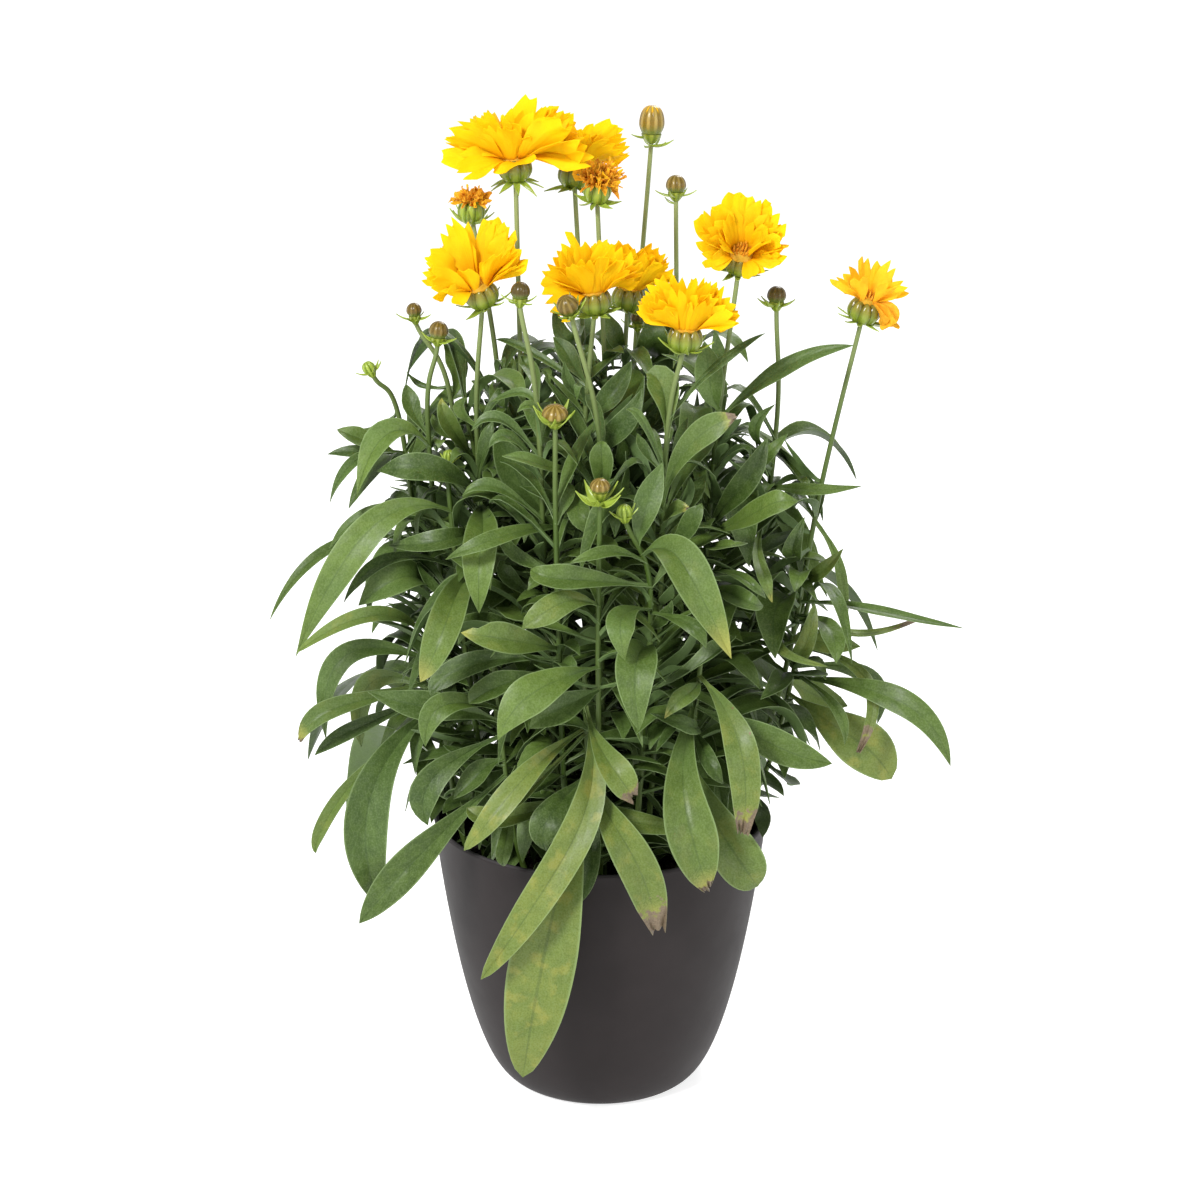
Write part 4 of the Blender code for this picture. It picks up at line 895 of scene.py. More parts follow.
for shoot, ripeness in BUDS.items():
    radius = SHOOTS[shoot][5] * MM
    tall = BUD_HEIGHTS.get(shoot, BUD_HEIGHT) * radius
    broad = BUD_WIDEST * tall
    shoulder = 0.7 if shoot == "D" else 0.9
    low = [(radius * (0.75 + 0.25 * math.sin(0.5 * math.pi * t)), BUD_SEAT + (broad - BUD_SEAT) * t)
           for t in np.linspace(0, 1, 6)]
    high = [(radius * math.cos(a) ** shoulder, broad + (tall - broad) * math.sin(a))
            for a in np.linspace(0, 0.5 * math.pi, 15)[1:-1]]
    profile = [(0, BUD_SEAT), *low, *high, (0, tall)]
    points, faces, share, rib = lobed(profile, BUD_SIDES, BUD_RIBS, BUD_RIB_DEPTH)
    points = laid(points, head_frame(shoot))
    bud = Growth()
    bud.add(points, faces, 0, along=share, across=rib, tone=ripeness)
    room.note(f"bud_{shoot}", points, faces)
    bud.finish(f"bud_scales_{shoot}", f"bud_{shoot}", "bud", [bud_brown])


# The leaves: long, narrow at the stalk and widest past the middle, in opposite pairs on every stem.
# They fold a little along a sunken midrib and have a fine pale margin. The oldest, low down, have
# yellowed, and some have a brown withered tip.
#
# Rows of the leaves that show from the front, in millimetres: height of the root on its shoot, a
# point half way along, the tip, the width, how far the face turns from the sky to the light, and
# the look.
LEAVES = {
    "low_front": [
        (200, (19, -112, 178), (23, -112, 133), 19.5, 0.8, "brown"),
        (238, (-15, -120, 180), (-60, -125, 110), 19, 0.65, "yellow"),
        (205, (-25, -115, 135), (-40, -105, 45), 34, 0.85, "yellow"),
        (190, (-5, -100, 165), (-12, -102, 140), 11, 0.6, "dark"),
        (196, (15, -100, 193), (35, -105, 185), 14, 0.4, "bright"),
        (234, (5, -115, 222), (17, -118, 205), 15, 0.6, "brown"),
        (226, (-43, -112, 207), (-68, -115, 176), 13, 0.6, "yellow"),
        (188, (-46, -98, 187), (-67, -100, 193), 13, 0.5, "bright"),
        (212, (-28, -102, 212), (-41, -106, 212), 9, 0.4, "bright"),
        (200, (-25, -106, 191), (-27, -106, 172), 16, 0.7, "dark"),
    ],
    "low_right_front": [
        (252, (70, -110, 227), (71, -112, 183), 17, 0.7, "brown"),
        (240, (43, -120, 197), (55, -122, 156), 24, 0.75, "scorched"),
        (205, (65, -100, 173), (80, -100, 150), 25, 0.8, "bright"),
        (235, (87, -78, 219), (118, -80, 209), 17, 0.6, "mid"),
        (248, (42, -102, 253), (32, -106, 243), 10, 0.6, "tip"),
        (225, (45, -96, 235), (25, -96, 242), 10, 0.4, "dark"),
        (222, (54, -94, 217), (62, -98, 205), 9, 0.5, "dark"),
    ],
    "low_left_front": [
        (188, (-48, -94, 171), (-49, -95, 159), 8, 0.6, "mid"),
        (226, (-84, -70, 236), (-118, -72, 245), 15, 0.6, "dark"),
        (232, (-77, -86, 243), (-88, -90, 222), 13, 0.6, "mid"),
        (196, (-95, -86, 158), (-124, -88, 124), 18, 0.7, "dark"),
        (218, (-84, -80, 202), (-88, -82, 176), 16, 0.7, "dark"),
        (205, (-63, -70, 199), (-75, -76, 188), 12, 0.5, "dark"),
    ],
    "low_left": [
        (222, (-118, -74, 187), (-113, -76, 128), 23, 0.75, "dark"),
        (218, (-139, -22, 166), (-152, -26, 137), 8, 0.6, "pale"),
        (228, (-126, -32, 211), (-150, -34, 196), 9, 0.5, "dark"),
        (234, (-133, -46, 228), (-156, -48, 209), 11, 0.6, "scorched"),
        (240, (-133, -42, 254), (-145, -46, 211), 13, 0.6, "mid"),
        (250, (-112, -70, 285), (-153, -76, 267), 9, 0.5, "pale"),
        (226, (-121, -12, 229), (-127, -16, 194), 13, 0.6, "pale"),
    ],
    "low_right": [
        (225, (152, -42, 231), (182, -52, 197), 14, 0.6, "mid"),
        (216, (133, -12, 199), (156, -14, 175), 26, 0.8, "yellow"),
        (222, (111, 28, 211), (136, 34, 199), 16, 0.6, "pale"),
        (228, (123, -26, 221), (129, -28, 200), 6, 0.6, "mid"),
        (232, (144, 18, 222), (151, 20, 194), 11, 0.6, "dark"),
        (236, (134, -28, 240), (140, -34, 199), 7, 0.6, "brown"),
        (238, (105, -34, 254), (111, -34, 280), 10, 0.6, "bright"),
    ],
    "W": [
        (320, (41, -110, 323), (64, -120, 279), 21, 0.6, "tip"),
        (290, (10, -120, 298), (12, -122, 279), 14, 0.7, "light"),
        (268, (18, -114, 276), (19, -126, 244), 20, 0.75, "mid"),
        (326, (23, -82, 346), (31, -78, 367), 14, 0.6, "mid"),
        (316, (2, -100, 327), (-15, -106, 323), 7, 0.5, "mid"),
        (305, (-13, -100, 316), (-32, -106, 315), 13, 0.6, "mid"),
        (288, (42, -106, 293), (52, -110, 281), 8, 0.6, "mid"),
    ],
    "V": [
        (262, (-30, -120, 263), (-50, -126, 239), 19, 0.65, "light"),
        (296, (-20, -108, 303), (-38, -112, 292), 14, 0.6, "bright"),
        (250, (-20, -106, 248), (-35, -110, 239), 15, 0.6, "mid"),
    ],
    "U": [
        (268, (-45, -106, 284), (-68, -110, 289), 15, 0.6, "notched"),
        (262, (-70, -76, 259), (-85, -82, 246), 13, 0.6, "dark"),
        (254, (-51, -78, 250), (-66, -82, 242), 14, 0.5, "dark"),
    ],
    "G": [
        (300, (-75, -96, 293), (-89, -100, 260), 18, 0.7, "tip"),
        (330, (-59, -78, 324), (-60, -88, 292), 18, 0.7, "light"),
        (332, (-89, -48, 354), (-112, -42, 353), 15, 0.6, "dark"),
        (322, (-87, -50, 323), (-105, -50, 318), 12, 0.5, "dark"),
        (342, (-59, -36, 364), (-54, -36, 377), 7, 0.5, "dark"),
    ],
    "T": [
        (330, (-116, -62, 327), (-154, -70, 263), 18, 0.65, "light"),
        (322, (-116, -32, 328), (-139, -32, 309), 8, 0.5, "mid"),
        (300, (-110, -50, 307), (-130, -58, 288), 8, 0.5, "dark"),
    ],
    "I": [
        (318, (-44, -85, 332), (-76, -92, 321), 9, 0.5, "mid"),
        (345, (-11, -68, 342), (-5, -74, 329), 12, 0.6, "mid"),
        (350, (-30, -76, 365), (-48, -82, 371), 8, 0.5, "light"),
        (355, (9, -48, 376), (21, -48, 397), 12, 0.6, "dark"),
        (375, (6, -25, 388), (16, -25, 406), 12, 0.6, "dark"),
        (392, (-35, -15, 408), (-53, -12, 414), 5, 0.5, "dark"),
        (385, (-15, -32, 394), (-18, -32, 407), 6, 0.5, "mid"),
        (394, (-15, -12, 403), (-24, -6, 414), 10, 0.6, "dark"),
    ],
    "M": [
        (340, (46, -76, 377), (67, -80, 390), 14, 0.6, "scorched"),
        (325, (36, -72, 339), (44, -78, 343), 10, 0.5, "scorched"),
        (315, (44, -84, 336), (50, -86, 348), 10, 0.6, "dark"),
        (375, (31, -58, 399), (23, -54, 406), 15, 0.7, "bright"),
        (355, (22, -76, 385), (13, -76, 393), 5, 0.5, "mid"),
        (385, (60, -48, 410), (82, -44, 424), 5, 0.4, "dark"),
    ],
    "N": [
        (312, (78, -70, 339), (98, -78, 347), 15, 0.6, "light"),
        (315, (71, -46, 345), (84, -46, 371), 12, 0.6, "dark"),
        (372, (90, -22, 399), (128, -26, 414), 10, 0.45, "mid"),
        (378, (56, -20, 393), (53, -16, 414), 15, 0.7, "light"),
        (398, (62, 2, 401), (59, 6, 416), 8, 0.5, "dark"),
        (305, (60, -84, 325), (73, -84, 327), 8, 0.5, "mid"),
        (290, (70, -90, 311), (82, -92, 301), 6, 0.5, "mid"),
        (282, (68, -84, 299), (81, -86, 295), 11, 0.6, "mid"),
    ],
    "P": [
        (270, (144, -32, 275), (188, -36, 267), 7, 0.35, "mid"),
        (262, (131, -14, 257), (167, -18, 266), 5, 0.4, "brown"),
        (262, (112, -38, 270), (117, -44, 249), 13, 0.7, "mid"),
        (258, (91, -58, 265), (116, -62, 255), 5, 0.5, "bright"),
        (250, (119, -8, 246), (136, -8, 238), 13, 0.6, "pale"),
        (290, (114, -22, 292), (126, -20, 305), 9, 0.5, "bright"),
        (300, (99, -32, 307), (105, -30, 325), 10, 0.6, "dark"),
        (315, (128, 8, 282), (132, 6, 259), 6, 0.6, "light"),
    ],
    "H": [
        (330, (-51, -60, 349), (-69, -62, 345), 7, 0.5, "mid"),
        (382, (-38, -45, 394), (-55, -50, 390), 5, 0.5, "mid"),
        (362, (-48, -60, 383), (-64, -60, 378), 7, 0.5, "mid"),
        (352, (-44, -66, 376), (-55, -70, 372), 7, 0.5, "mid"),
        (370, (-33, -62, 390), (-41, -66, 389), 5, 0.5, "light"),
        (388, (-35, -15, 398), (-41, -10, 405), 8, 0.6, "light"),
    ],
    "O": [
        (350, (80, -12, 365), (90, -8, 379), 7, 0.5, "mid"),
        (340, (85, -22, 355), (96, -22, 367), 8, 0.5, "mid"),
        (330, (105, -20, 337), (134, -25, 340), 7.5, 0.4, "mid"),
        (315, (81, -58, 307), (87, -64, 290), 7, 0.6, "tip"),
    ],
    "R": [
        (360, (-106, -35, 371), (-123, -45, 341), 14, 0.5, "light"),
        (366, (-97, -8, 378), (-100, -4, 389), 9, 0.6, "dark"),
    ],
    "S": [
        (345, (-122, -5, 359), (-136, -5, 365), 10, 0.5, "light"),
        (340, (-121, 2, 351), (-142, 2, 350), 7, 0.5, "dark"),
        (350, (-128, -14, 349), (-139, -14, 329), 6, 0.6, "mid"),
        (372, (-113, 14, 363), (-132, 14, 359), 6, 0.3, "mid"),
        (300, (-142, -20, 304), (-172, -25, 268), 6.5, 0.5, "mid"),
    ],
    "Q": [
        (385, (-91, 18, 382), (-101, 18, 390), 4, 0.4, "dark"),
        (378, (-74, 20, 392), (-82, 25, 404), 11, 0.6, "light"),
    ],
    "X": [
        (345, (-76, -30, 373), (-80, -32, 388), 9, 0.6, "tip"),
        (360, (-81, -14, 367), (-86, -12, 375), 7, 0.5, "mid"),
    ],
    "F": [(385, (-48, 5, 390), (-45, 10, 400), 8, 0.6, "mid")],
    "K": [(345, (1, -76, 368), (1, -76, 377), 12, 0.6, "mid")],
    "B": [(410, (-16, 12, 408), (-24, 18, 424), 10, 0.6, "mid")],
    "J": [(402, (8, 16, 409), (3, 20, 422), 10, 0.6, "mid")],
    "L": [(392, (28, 8, 407), (26, 12, 422), 19, 0.7, "dark")],
    "E": [(392, (39, 24, 403), (36, 28, 417), 14, 0.7, "dark")],
}
# Pairs placed by rule: shoot, lowest and highest in millimetres, number, heading of the lowest and
# share of the full width
PAIRS = [
    ("Y", 165, 320, 6, 60, 1), ("Z", 202, 315, 4, 105, 1), ("X", 190, 372, 3, 120, 1),
    ("low_left", 180, 280, 2, 150, 1), ("low_right", 270, 270, 1, 110, 0.5),
    ("J", 205, 370, 3, 5, 1), ("C", 230, 345, 2, 165, 1), ("A", 215, 365, 2, 10, 1),
    ("D", 225, 350, 3, 5, 1), ("B", 215, 380, 3, 80, 1), ("E", 205, 380, 2, 40, 1),
    ("L", 190, 385, 3, 95, 1), ("F", 220, 375, 2, 110, 1), ("S", 200, 330, 2, 160, 1),
]
# The leaves of a pair, in millimetres: from where on and over which height they grow shorter and
# narrower, their length and width low down, and by how much they are less at the top
PAIR_FOOT, PAIR_CLIMB = 170, 220
PAIR_LENGTH, PAIR_SHORTENING = 118, 60
PAIR_WIDTH, PAIR_NARROWING = 24.5, 11
# Smaller leaves fill the plant's shaded inside, within a rounded space: its middle and half spans in
# millimetres, and the steps of the fill: spacing of the pairs up a shoot, and size of the leaves
INSIDE_MIDDLE = (0, 8, 248)
INSIDE_SPANS = (131, 109, 164)
FILLS = [(9, 1.0), (7, 0.74), (7, 0.52), (7, 0.38)]
FILL_TURNS = 3
FILL_LOWEST, FILL_HIGHEST = 132 * MM, 400 * MM
FILL_BELOW_TOP = 35 * MM
SHADED_BELOW = 200 * MM
# Each look: how light the green is, how far it has yellowed, and how far its tip has dried
LOOKS = {"dark": (0.1, 0, 0), "mid": (0.4, 0, 0), "light": (0.75, 0.05, 0), "bright": (0.5, 0.3, 0),
         "pale": (0.95, 0.35, 0), "yellow": (0.5, 0.75, 0.05), "tip": (0.6, 0.15, 0.3),
         "notched": (0.6, 0.2, 0.3), "scorched": (0.4, 0.15, 0.6), "brown": (0.5, 0.45, 1.0)}
LEAF_STALK = 2.4 * MM
LEAF_THICKNESS = 0.45 * MM
LEAF_COLUMNS = np.array([-1, -0.93, -0.62, -0.26, 0, 0.26, 0.62, 0.93, 1])
FILL_COLUMNS = np.array([-1, -0.6, 0, 0.6, 1])
# Spacing of a leaf's rows of points in millimetres, and its fewest and most rows
LEAF_ROW_STEP, FILL_ROW_STEP = 3.6, 4.6
FEWEST_ROWS, MOST_ROWS = 9, 34
# How dry a tip is that has withered ragged, and how much of the leaf it has lost
WITHERED, TIP_LOSS = 0.5, 0.06
ROOM_TRIES = 60
FILL_TRIES = 9
# The photograph's viewpoint, from which the filling leaves mustn't hide the others
VIEWER = mm((0, -1400, 715))
# How much further from its place, and more tilted, each next try for room is
ROOM_STEP, ROOM_TILT = 0.35 * MM, 0.012
# The share of a leaf near its stem that may touch the leaves of the same stem
STALK_SHARE = 0.16
LEAF_ROOM = 0.4 * MM


def on_route(route, height):
    """The point of a stem's middle line at a height."""
    for low, high in zip(route, route[1:]):
        if low.z <= height <= high.z:
            return low.lerp(high, (height - low.z) / (high.z - low.z))
    return route[-1] if height > route[-1].z else route[0]


def bend_of(root, middle, tip, t):
    """A point of a leaf's middle line, which bends through its middle."""
    bend = middle * 2 - (root + tip) / 2
    return root * (1 - t) ** 2 + bend * 2 * t * (1 - t) + tip * t ** 2


def stand_in(root, middle, tip, width, face, start):
    """A coarse blade round a leaf, which tells whether there is room for it."""
    stations = np.linspace(start, 1, 6)
    centres = [bend_of(root, middle, tip, t) for t in stations]
    _, across, normal = framed(centres, face, 3)
    half = 0.5 * width * np.sin(np.pi * np.minimum(stations, 0.97) ** 1.357) ** 0.75
    half = np.maximum(half, 0.5 * LEAF_STALK) + LEAF_ROOM
    points = []
    for centre, side, out, reach in zip(centres, across, normal, half):
        edge = Vector(out) * (0.5 * LEAF_THICKNESS + LEAF_ROOM)
        side = Vector(side) * reach
        points += [centre - side + edge, centre + side + edge, centre + side - edge, centre - side - edge]
    faces = [(0, 1, 2, 3), tuple(range(len(points) - 4, len(points)))]
    for ring in range(0, len(points) - 4, 4):
        faces += [(ring + k, ring + (k + 1) % 4, ring + 4 + (k + 1) % 4, ring + 4 + k) for k in range(4)]
    return points, faces


def seat(shoot, height, middle, tip, width, face, draw, tries):
    """The leaf's place, or the nearest one with room round it. None where there is no room."""
    for attempt in range(tries):
        reach = ROOM_STEP * attempt
        shift, sway, tilt = (Vector([draw.uniform(-1, 1) for _ in range(3)]) for _ in range(3))
        look = (face + tilt * ROOM_TILT * attempt).normalized()
        root = on_route(routes[shoot], height + draw.uniform(-1, 1) * reach)
        here = (root, middle + shift * reach, tip + sway * reach, width, look)
        points, faces = stand_in(*here, 0.0)
        outer_tree = BVHTree.FromPolygons(*stand_in(*here, STALK_SHARE))
        if room.is_free(shoot, points, BVHTree.FromPolygons(points, faces), outer_tree):
            room.note(shoot, points, faces, outer_tree)
            return here
    return None


def add_leaf(growth, root, middle, tip, width, face, look, draw, columns=LEAF_COLUMNS):
    """A thin leaf with a channelled stalk, a sunken midrib, waved edges and a pointed tip. A dried
    tip ends blunt, ragged and crumpled."""
    tone, yellowing, dryness = LOOKS[look]
    length = (middle - root).length + (tip - middle).length
    row_step = LEAF_ROW_STEP if columns is LEAF_COLUMNS else FILL_ROW_STEP
    rows = int(min(MOST_ROWS, max(FEWEST_ROWS, length / row_step / MM)))
    along = np.linspace(0, 1, rows)
    cut = TIP_LOSS if dryness > WITHERED else 0.0
    centres = [bend_of(root, middle, tip, t) for t in along * (1 - 0.3 * cut)]
    ahead, across, normal = framed(centres, face, int(0.6 * rows))
    # The outline, down to the width of the stalk
    swell = draw.uniform(1.05, 1.4)
    form = np.sin(np.pi * np.minimum(1, along * (1 - cut)) ** swell)
    blunt = 0.62 if yellowing > 0.2 else draw.uniform(0.78, 1.05)
    half = 0.5 * width * np.clip(form, 0, 1) ** np.where(along < 0.5 ** (1 / swell), 1, blunt)
    stalk = np.where(along < 0.45, 0.45 * LEAF_STALK, 0.1 * MM)
    ripple = 1 + 0.05 * np.sin(along * draw.uniform(5, 11) + draw.uniform(0, 6))
    half = (np.maximum(half, stalk) * ripple)[:, None]
    x = half * columns
    share = along[:, None]
    if look == "notched":
        x = x * (1 - 0.45 * np.exp(-((share - 0.8) / 0.035) ** 2) * (columns > 0))
    # The relief across it: the fold along the midrib, a curl, waved edges and the midrib's groove
    roll = draw.uniform(-0.35, 0.35) * (share - 0.6) + draw.uniform(-0.12, 0.12)
    fold = draw.uniform(0.12, 0.42) + 0.8 * (1 - share) ** 3
    curl = draw.uniform(-0.25, 0.2)
    swing = 0.022 * length * draw.uniform(-1, 1) * np.sin(2 * np.pi * share) * np.ones(len(columns))
    phase = share * draw.uniform(9, 20) + np.where(columns > 0, 1.0, 0.0) * draw.uniform(1, 5)
    wave = 0.07 * half * np.abs(columns) ** 1.5 * np.sin(phase)
    groove = -0.22 * MM * np.exp(-(columns / 0.12) ** 2) * (share < 0.97)
    rise = fold * np.abs(x) + curl * x ** 2 / (0.5 * width) + wave + groove
    reach = np.zeros_like(x)
    if dryness > WITHERED:
        end = np.clip((share - 0.86) / 0.14, 0, 1)
        ragged = np.array([draw.uniform(-1, 1) for _ in columns])
        reach = end ** 2 * ragged * 0.09 * width
        rise = rise + end * np.array([draw.uniform(-1, 1) for _ in columns]) * 0.12 * width
        x = x * (1 - 0.18 * end)
    side = across[:, None] * np.cos(roll)[..., None] + normal[:, None] * np.sin(roll)[..., None]
    out = normal[:, None] * np.cos(roll)[..., None] - across[:, None] * np.sin(roll)[..., None]
    grid = (np.array(centres)[:, None] + ahead[:, None] * reach[..., None]
            + side * (x + swing)[..., None] + out * rise[..., None])
    rib = np.exp(-(x / (0.9 * MM)) ** 2) * (1 - share) ** 0.7
    thickness = (LEAF_THICKNESS * (0.5 + 0.5 * (1 - columns ** 4)) + 0.6 * MM * rib)[..., None]
    add_sheet(growth, LEAF, grid, thickness, along=np.broadcast_to(share, x.shape),
              across=np.broadcast_to(columns, x.shape),
              tone=min(1, max(0, tone + draw.uniform(-0.12, 0.12))), yellowing=yellowing,
              dryness=dryness)


def pair_leaf(shoot, height, heading, size, draw):
    """Middle, tip, width and face of a leaf placed by rule: long and hanging low down, short above."""
    share = min(1, max(0, (height - PAIR_FOOT * MM) / (PAIR_CLIMB * MM)))
    length = (PAIR_LENGTH - PAIR_SHORTENING * share) * MM * draw.uniform(0.85, 1.15) * size
    slim = 0.8 * size ** 0.7 if size < 1 else 1
    width = (PAIR_WIDTH - PAIR_NARROWING * share) * MM * draw.uniform(0.8, 1.15) * slim
    out = Vector((math.cos(heading), math.sin(heading), 0))
    rise = (0.1 + 0.55 * share) * length * draw.uniform(0.7, 1.2)
    drop = (0.5 - 0.75 * share) * length * draw.uniform(0.8, 1.2)
    root = on_route(routes[shoot], height)
    reach = length * (0.92 - 0.18 * share)
    middle = root + out * reach * 0.55 + UP * rise * 0.8
    tip = root + out * reach - UP * drop
    return middle, tip, width, (UP * 0.6 + out * 0.3).normalized()


def is_inside(point):
    """Whether a point lies in the plant's shaded inside."""
    away = point - mm(INSIDE_MIDDLE)
    return sum((away[k] / (span * MM)) ** 2 for k, span in enumerate(INSIDE_SPANS)) < 1


def hides_shown(root, middle, tip):
    """Whether a leaf would stand before those that show from the front."""
    hits = 0
    for share in (0.3, 0.5, 0.7, 0.85, 1):
        point = bend_of(root, middle, tip, share)
        way = (point - VIEWER).normalized()
        hits += shown.ray_cast(point + way * MM, way)[0] is not None
    return hits > 1


def add_filling_leaf(shoot, height, turn, size, draw):
    """Grows a small leaf where there is room for it in the plant's shaded inside."""
    for attempt in range(FILL_TURNS):
        heading = turn + draw.uniform(-0.6, 0.6) * (1 + attempt)
        middle, tip, width, face = pair_leaf(shoot, height, heading, size, draw)
        stray = Vector((draw.uniform(-20, 20), draw.uniform(-20, 20), draw.uniform(-5, 75)))
        tip += stray * MM * size
        middle.z += draw.uniform(-10, 12) * MM * size
        root = on_route(routes[shoot], height)
        if not is_inside(middle) or not is_inside(tip) or hides_shown(root, middle, tip):
            continue
        here = seat(shoot, height, middle, tip, width, face, draw, FILL_TRIES)
        if here:
            greens = ("dark",) * 3 if height < SHADED_BELOW else ("dark", "mid", "light")
            add_leaf(growths[shoot], *here, draw.choice(("dark", "mid", *greens)), draw, FILL_COLUMNS)
            return


shown_points, shown_faces = [], []
for shoot, rows in LEAVES.items():
    for k, (height, middle, tip, width, turn, look) in enumerate(rows):
        draw = random.Random(f"{shoot}{k}")
        face = (UP * (1 - turn) + LIGHT * turn).normalized()
        here = seat(shoot, height * MM, mm(middle), mm(tip), width * MM, face, draw, ROOM_TRIES)
        if here:
            add_leaf(growths[shoot], *here, look, draw)
            points, faces = stand_in(*here, 0.2)
            shown_faces += [[len(shown_points) + corner for corner in f] for f in faces]
            shown_points += points
shown = BVHTree.FromPolygons(shown_points, shown_faces)

for shoot, low, high, pairs, start, slim in PAIRS:
    for k in range(pairs):
        height = (low + (high - low) * k / max(1, pairs - 1)) * MM
        for half in range(2):
            draw = random.Random(f"{shoot}{k}{half}")
            heading = math.radians(start + 90 * k + 180 * half + draw.uniform(-20, 20))
            middle, tip, width, face = pair_leaf(shoot, height, heading, 1.0, draw)
            here = seat(shoot, height, middle, tip, width * slim, face, draw, ROOM_TRIES)
            if here:
                add_leaf(growths[shoot], *here, draw.choice(("dark", "mid", "mid", "light")), draw)

for step, size in FILLS:
    for shoot in SHOOTS:
        draw = random.Random(f"{shoot}{size}")
        turn = draw.uniform(0, 6.3)
        height, top = FILL_LOWEST, min(routes[shoot][-1].z - FILL_BELOW_TOP, FILL_HIGHEST)
        while height < top:
            for half in range(2):
                add_filling_leaf(shoot, height, turn + math.pi * half, size, draw)
            height += step * MM
            turn += math.pi / 2

leaf_green, wire = new_skin("leaf_green")
along, across, tone = wire.mark("along"), wire.mark("across"), wire.mark("tone")
yellowing, dryness = wire.mark("yellowing"), wire.mark("dryness")
beside = across.size()
mottle = wire.cloud(170, 4.0).rise(0.3, 0.72)
fine = wire.cloud(1100, 3.0)
light = 0.75 * tone + 0.25 * mottle
green = light.blend((0.028, 0.057, 0.006), (0.125, 0.200, 0.030))
cool = wire.cloud(14, 1.0).rise(0.45, 0.62) * (0.15 + 0.3 * tone)
green = cool.blend(green, (0.058, 0.115, 0.030))
age = yellowing * (0.55 + 0.6 * wire.cloud(75, 4.0).rise(0.3, 0.7)) * (0.45 + 0.55 * along)
aged = age.blend(green, (0.175, 0.215, 0.035))
blotched = (yellowing * wire.cloud(110, 5.0).rise(0.5, 0.68) * 0.6).blend(aged, (0.30, 0.28, 0.05))
# A painted sheen: fine pale grey flecks over the green.
sheen_flecks = (fine.rise(0.42, 0.7) * 0.2).blend(blotched, (0.21, 0.27, 0.13))
speckled = (fine.rise(0.5, 0.3) * 0.25).blend(sheen_flecks, (0.03, 0.055, 0.015))
rays = (along * 46 - beside * 13 + mottle * 2).wave()
veined = (rays.rise(0.75, 1.0) * 0.09).blend(speckled, (0.16, 0.25, 0.08))
# Painted shade: darker along the sunken midrib's crease.
midrib_shaded = (beside.rise(0.075, 0.02) * along.rise(0.05, 0.5) * 0.3).blend(veined, (0.03, 0.06, 0.015))
stalked = (along.rise(0.32, 0.0) * beside.rise(0.9, 0.1) * 0.6).blend(midrib_shaded, (0.17, 0.26, 0.09))
edged = (beside.rise(0.90, 0.99) * 0.5).blend(stalked, (0.24, 0.33, 0.14))
drying = dryness.rise(0.1, 0.3) * (along + fine * 0.08).rise(0.86, 1.02) * 0.75
yellow_tip = drying.blend(edged, (0.34, 0.33, 0.07))
burnt = dryness.rise(0.4, 0.6) * (along + 0.1 * mottle + 0.06 * fine + 0.16 * dryness).rise(1.11, 1.14)
browned = burnt.blend(yellow_tip, fine.blend((0.06, 0.042, 0.026), (0.27, 0.205, 0.13)))
spots = wire.cloud(240, 2.0).rise(0.74, 0.8) * dryness.rise(0.2, 0.6)
spotted = spots.blend(browned, (0.16, 0.09, 0.04))
leaf_colour = (wire.mark("underside") * 0.45).blend(spotted, (0.12, 0.19, 0.075))
coat(leaf_green, Base_Color=leaf_colour, Roughness=0.40 + 0.14 * mottle, Specular_IOR_Level=0.34,
     Normal=wire.relief(rays, 0.08, 0.0003, wire.relief(fine, 0.35, 0.00025)))
let_light_through(leaf_green, wire, leaf_colour, 0.16)

for shoot, growth in growths.items():
    kind = "leafy_shoot" if SHOOTS[shoot][4] == "shoot" else "flower_stem"
    growth.finish(f"leafy_stem_{shoot}", f"{kind}_{shoot}", "leaf", [leaf_green, stem_green, cup_green])


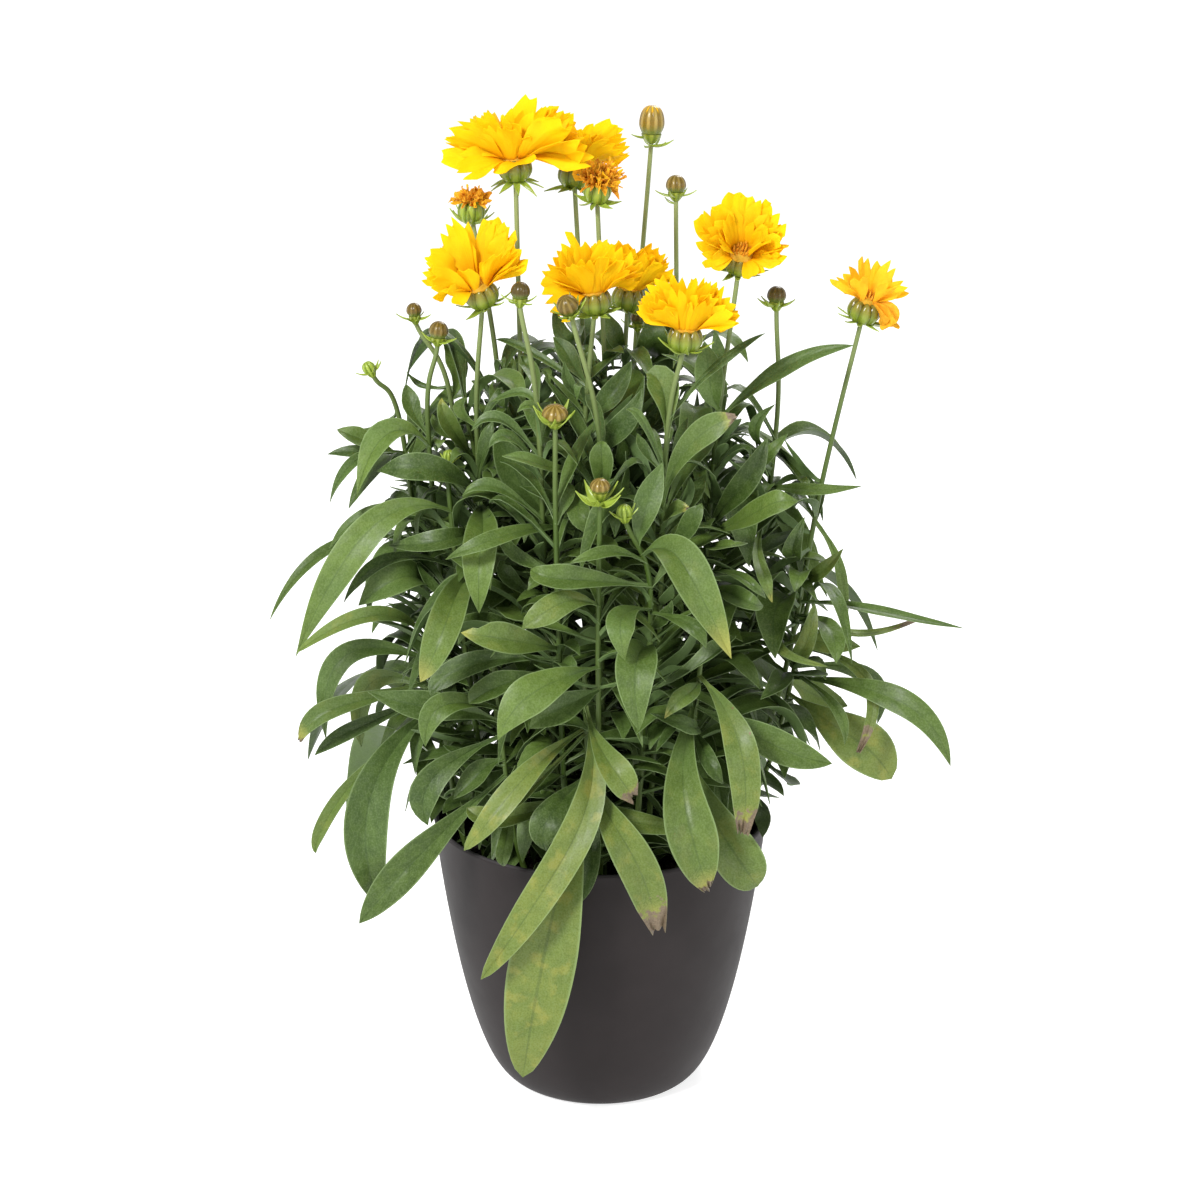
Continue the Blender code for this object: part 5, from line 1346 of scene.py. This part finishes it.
# The studio: pale lit paper that runs far out and then curves up to a low wall all round, soft light
# from large panels, and the camera at the photograph's place, a little above the plant.
PAPER_RADIUS = 12.0
PAPER_BEND = 2.0
PAPER_HEIGHT = 3.5
CAMERA_TILT = 17.6
CAMERA_LENS = 83.25
PAPER_WHITE, PAPER_GLOW = 0.6, 0.7
ROOM_LIGHT = 0.56

bend = [(PAPER_RADIUS - PAPER_BEND * (1 - math.sin(a)), PAPER_BEND * (1 - math.cos(a)))
        for a in np.linspace(0, 0.5 * math.pi, 17)]
points, faces = turned([(0, 0), *bend, (PAPER_RADIUS, PAPER_HEIGHT)], 64)
sheet = bpy.data.meshes.new("floor")
sheet.from_pydata(points.tolist(), [], [tuple(reversed(face)) for face in faces])
sheet.shade_smooth()
paper, _ = new_skin("paper")
coat(paper, Base_Color=(PAPER_WHITE, PAPER_WHITE, PAPER_WHITE, 1), Roughness=0.9,
     Emission_Color=(1, 1, 1, 1), Emission_Strength=PAPER_GLOW)
sheet.materials.append(paper)
floor = bpy.data.objects.new("floor", sheet)
bpy.context.scene.collection.objects.link(floor)


def panel(name, place, target, size, power):
    """A soft light panel that faces a point of the plant."""
    light = bpy.data.lights.new(name, "AREA")
    light.shape, light.size, light.energy = "DISK", size, power
    lamp = bpy.data.objects.new(name, light)
    lamp.location = place
    lamp.rotation_euler = (Vector(target) - Vector(place)).to_track_quat("-Z", "Y").to_euler()
    bpy.context.scene.collection.objects.link(lamp)


panel("key", (-0.9, -1.5, 1.55), (0, 0, 0.3), size=0.5, power=52)
panel("fill", (1.3, -1.3, 0.9), (0, 0, 0.25), size=1.0, power=10)
panel("back", (0.5, 1.4, 1.6), (0, 0, 0.3), size=0.9, power=22)

world = bpy.data.worlds.new("studio")
world.use_nodes = True
background = world.node_tree.nodes["Background"].inputs
background["Color"].default_value = (1, 1, 1, 1)
background["Strength"].default_value = ROOM_LIGHT
bpy.context.scene.world = world
bpy.context.scene.view_settings.view_transform = "Standard"

camera = bpy.data.cameras.new("camera")
camera.sensor_width, camera.lens = 36, CAMERA_LENS
camera.clip_end = 100
camera = bpy.data.objects.new("camera", camera)
camera.location = VIEWER
camera.rotation_euler = (math.radians(90 - CAMERA_TILT), 0, 0)
bpy.context.scene.collection.objects.link(camera)
bpy.context.scene.camera = camera
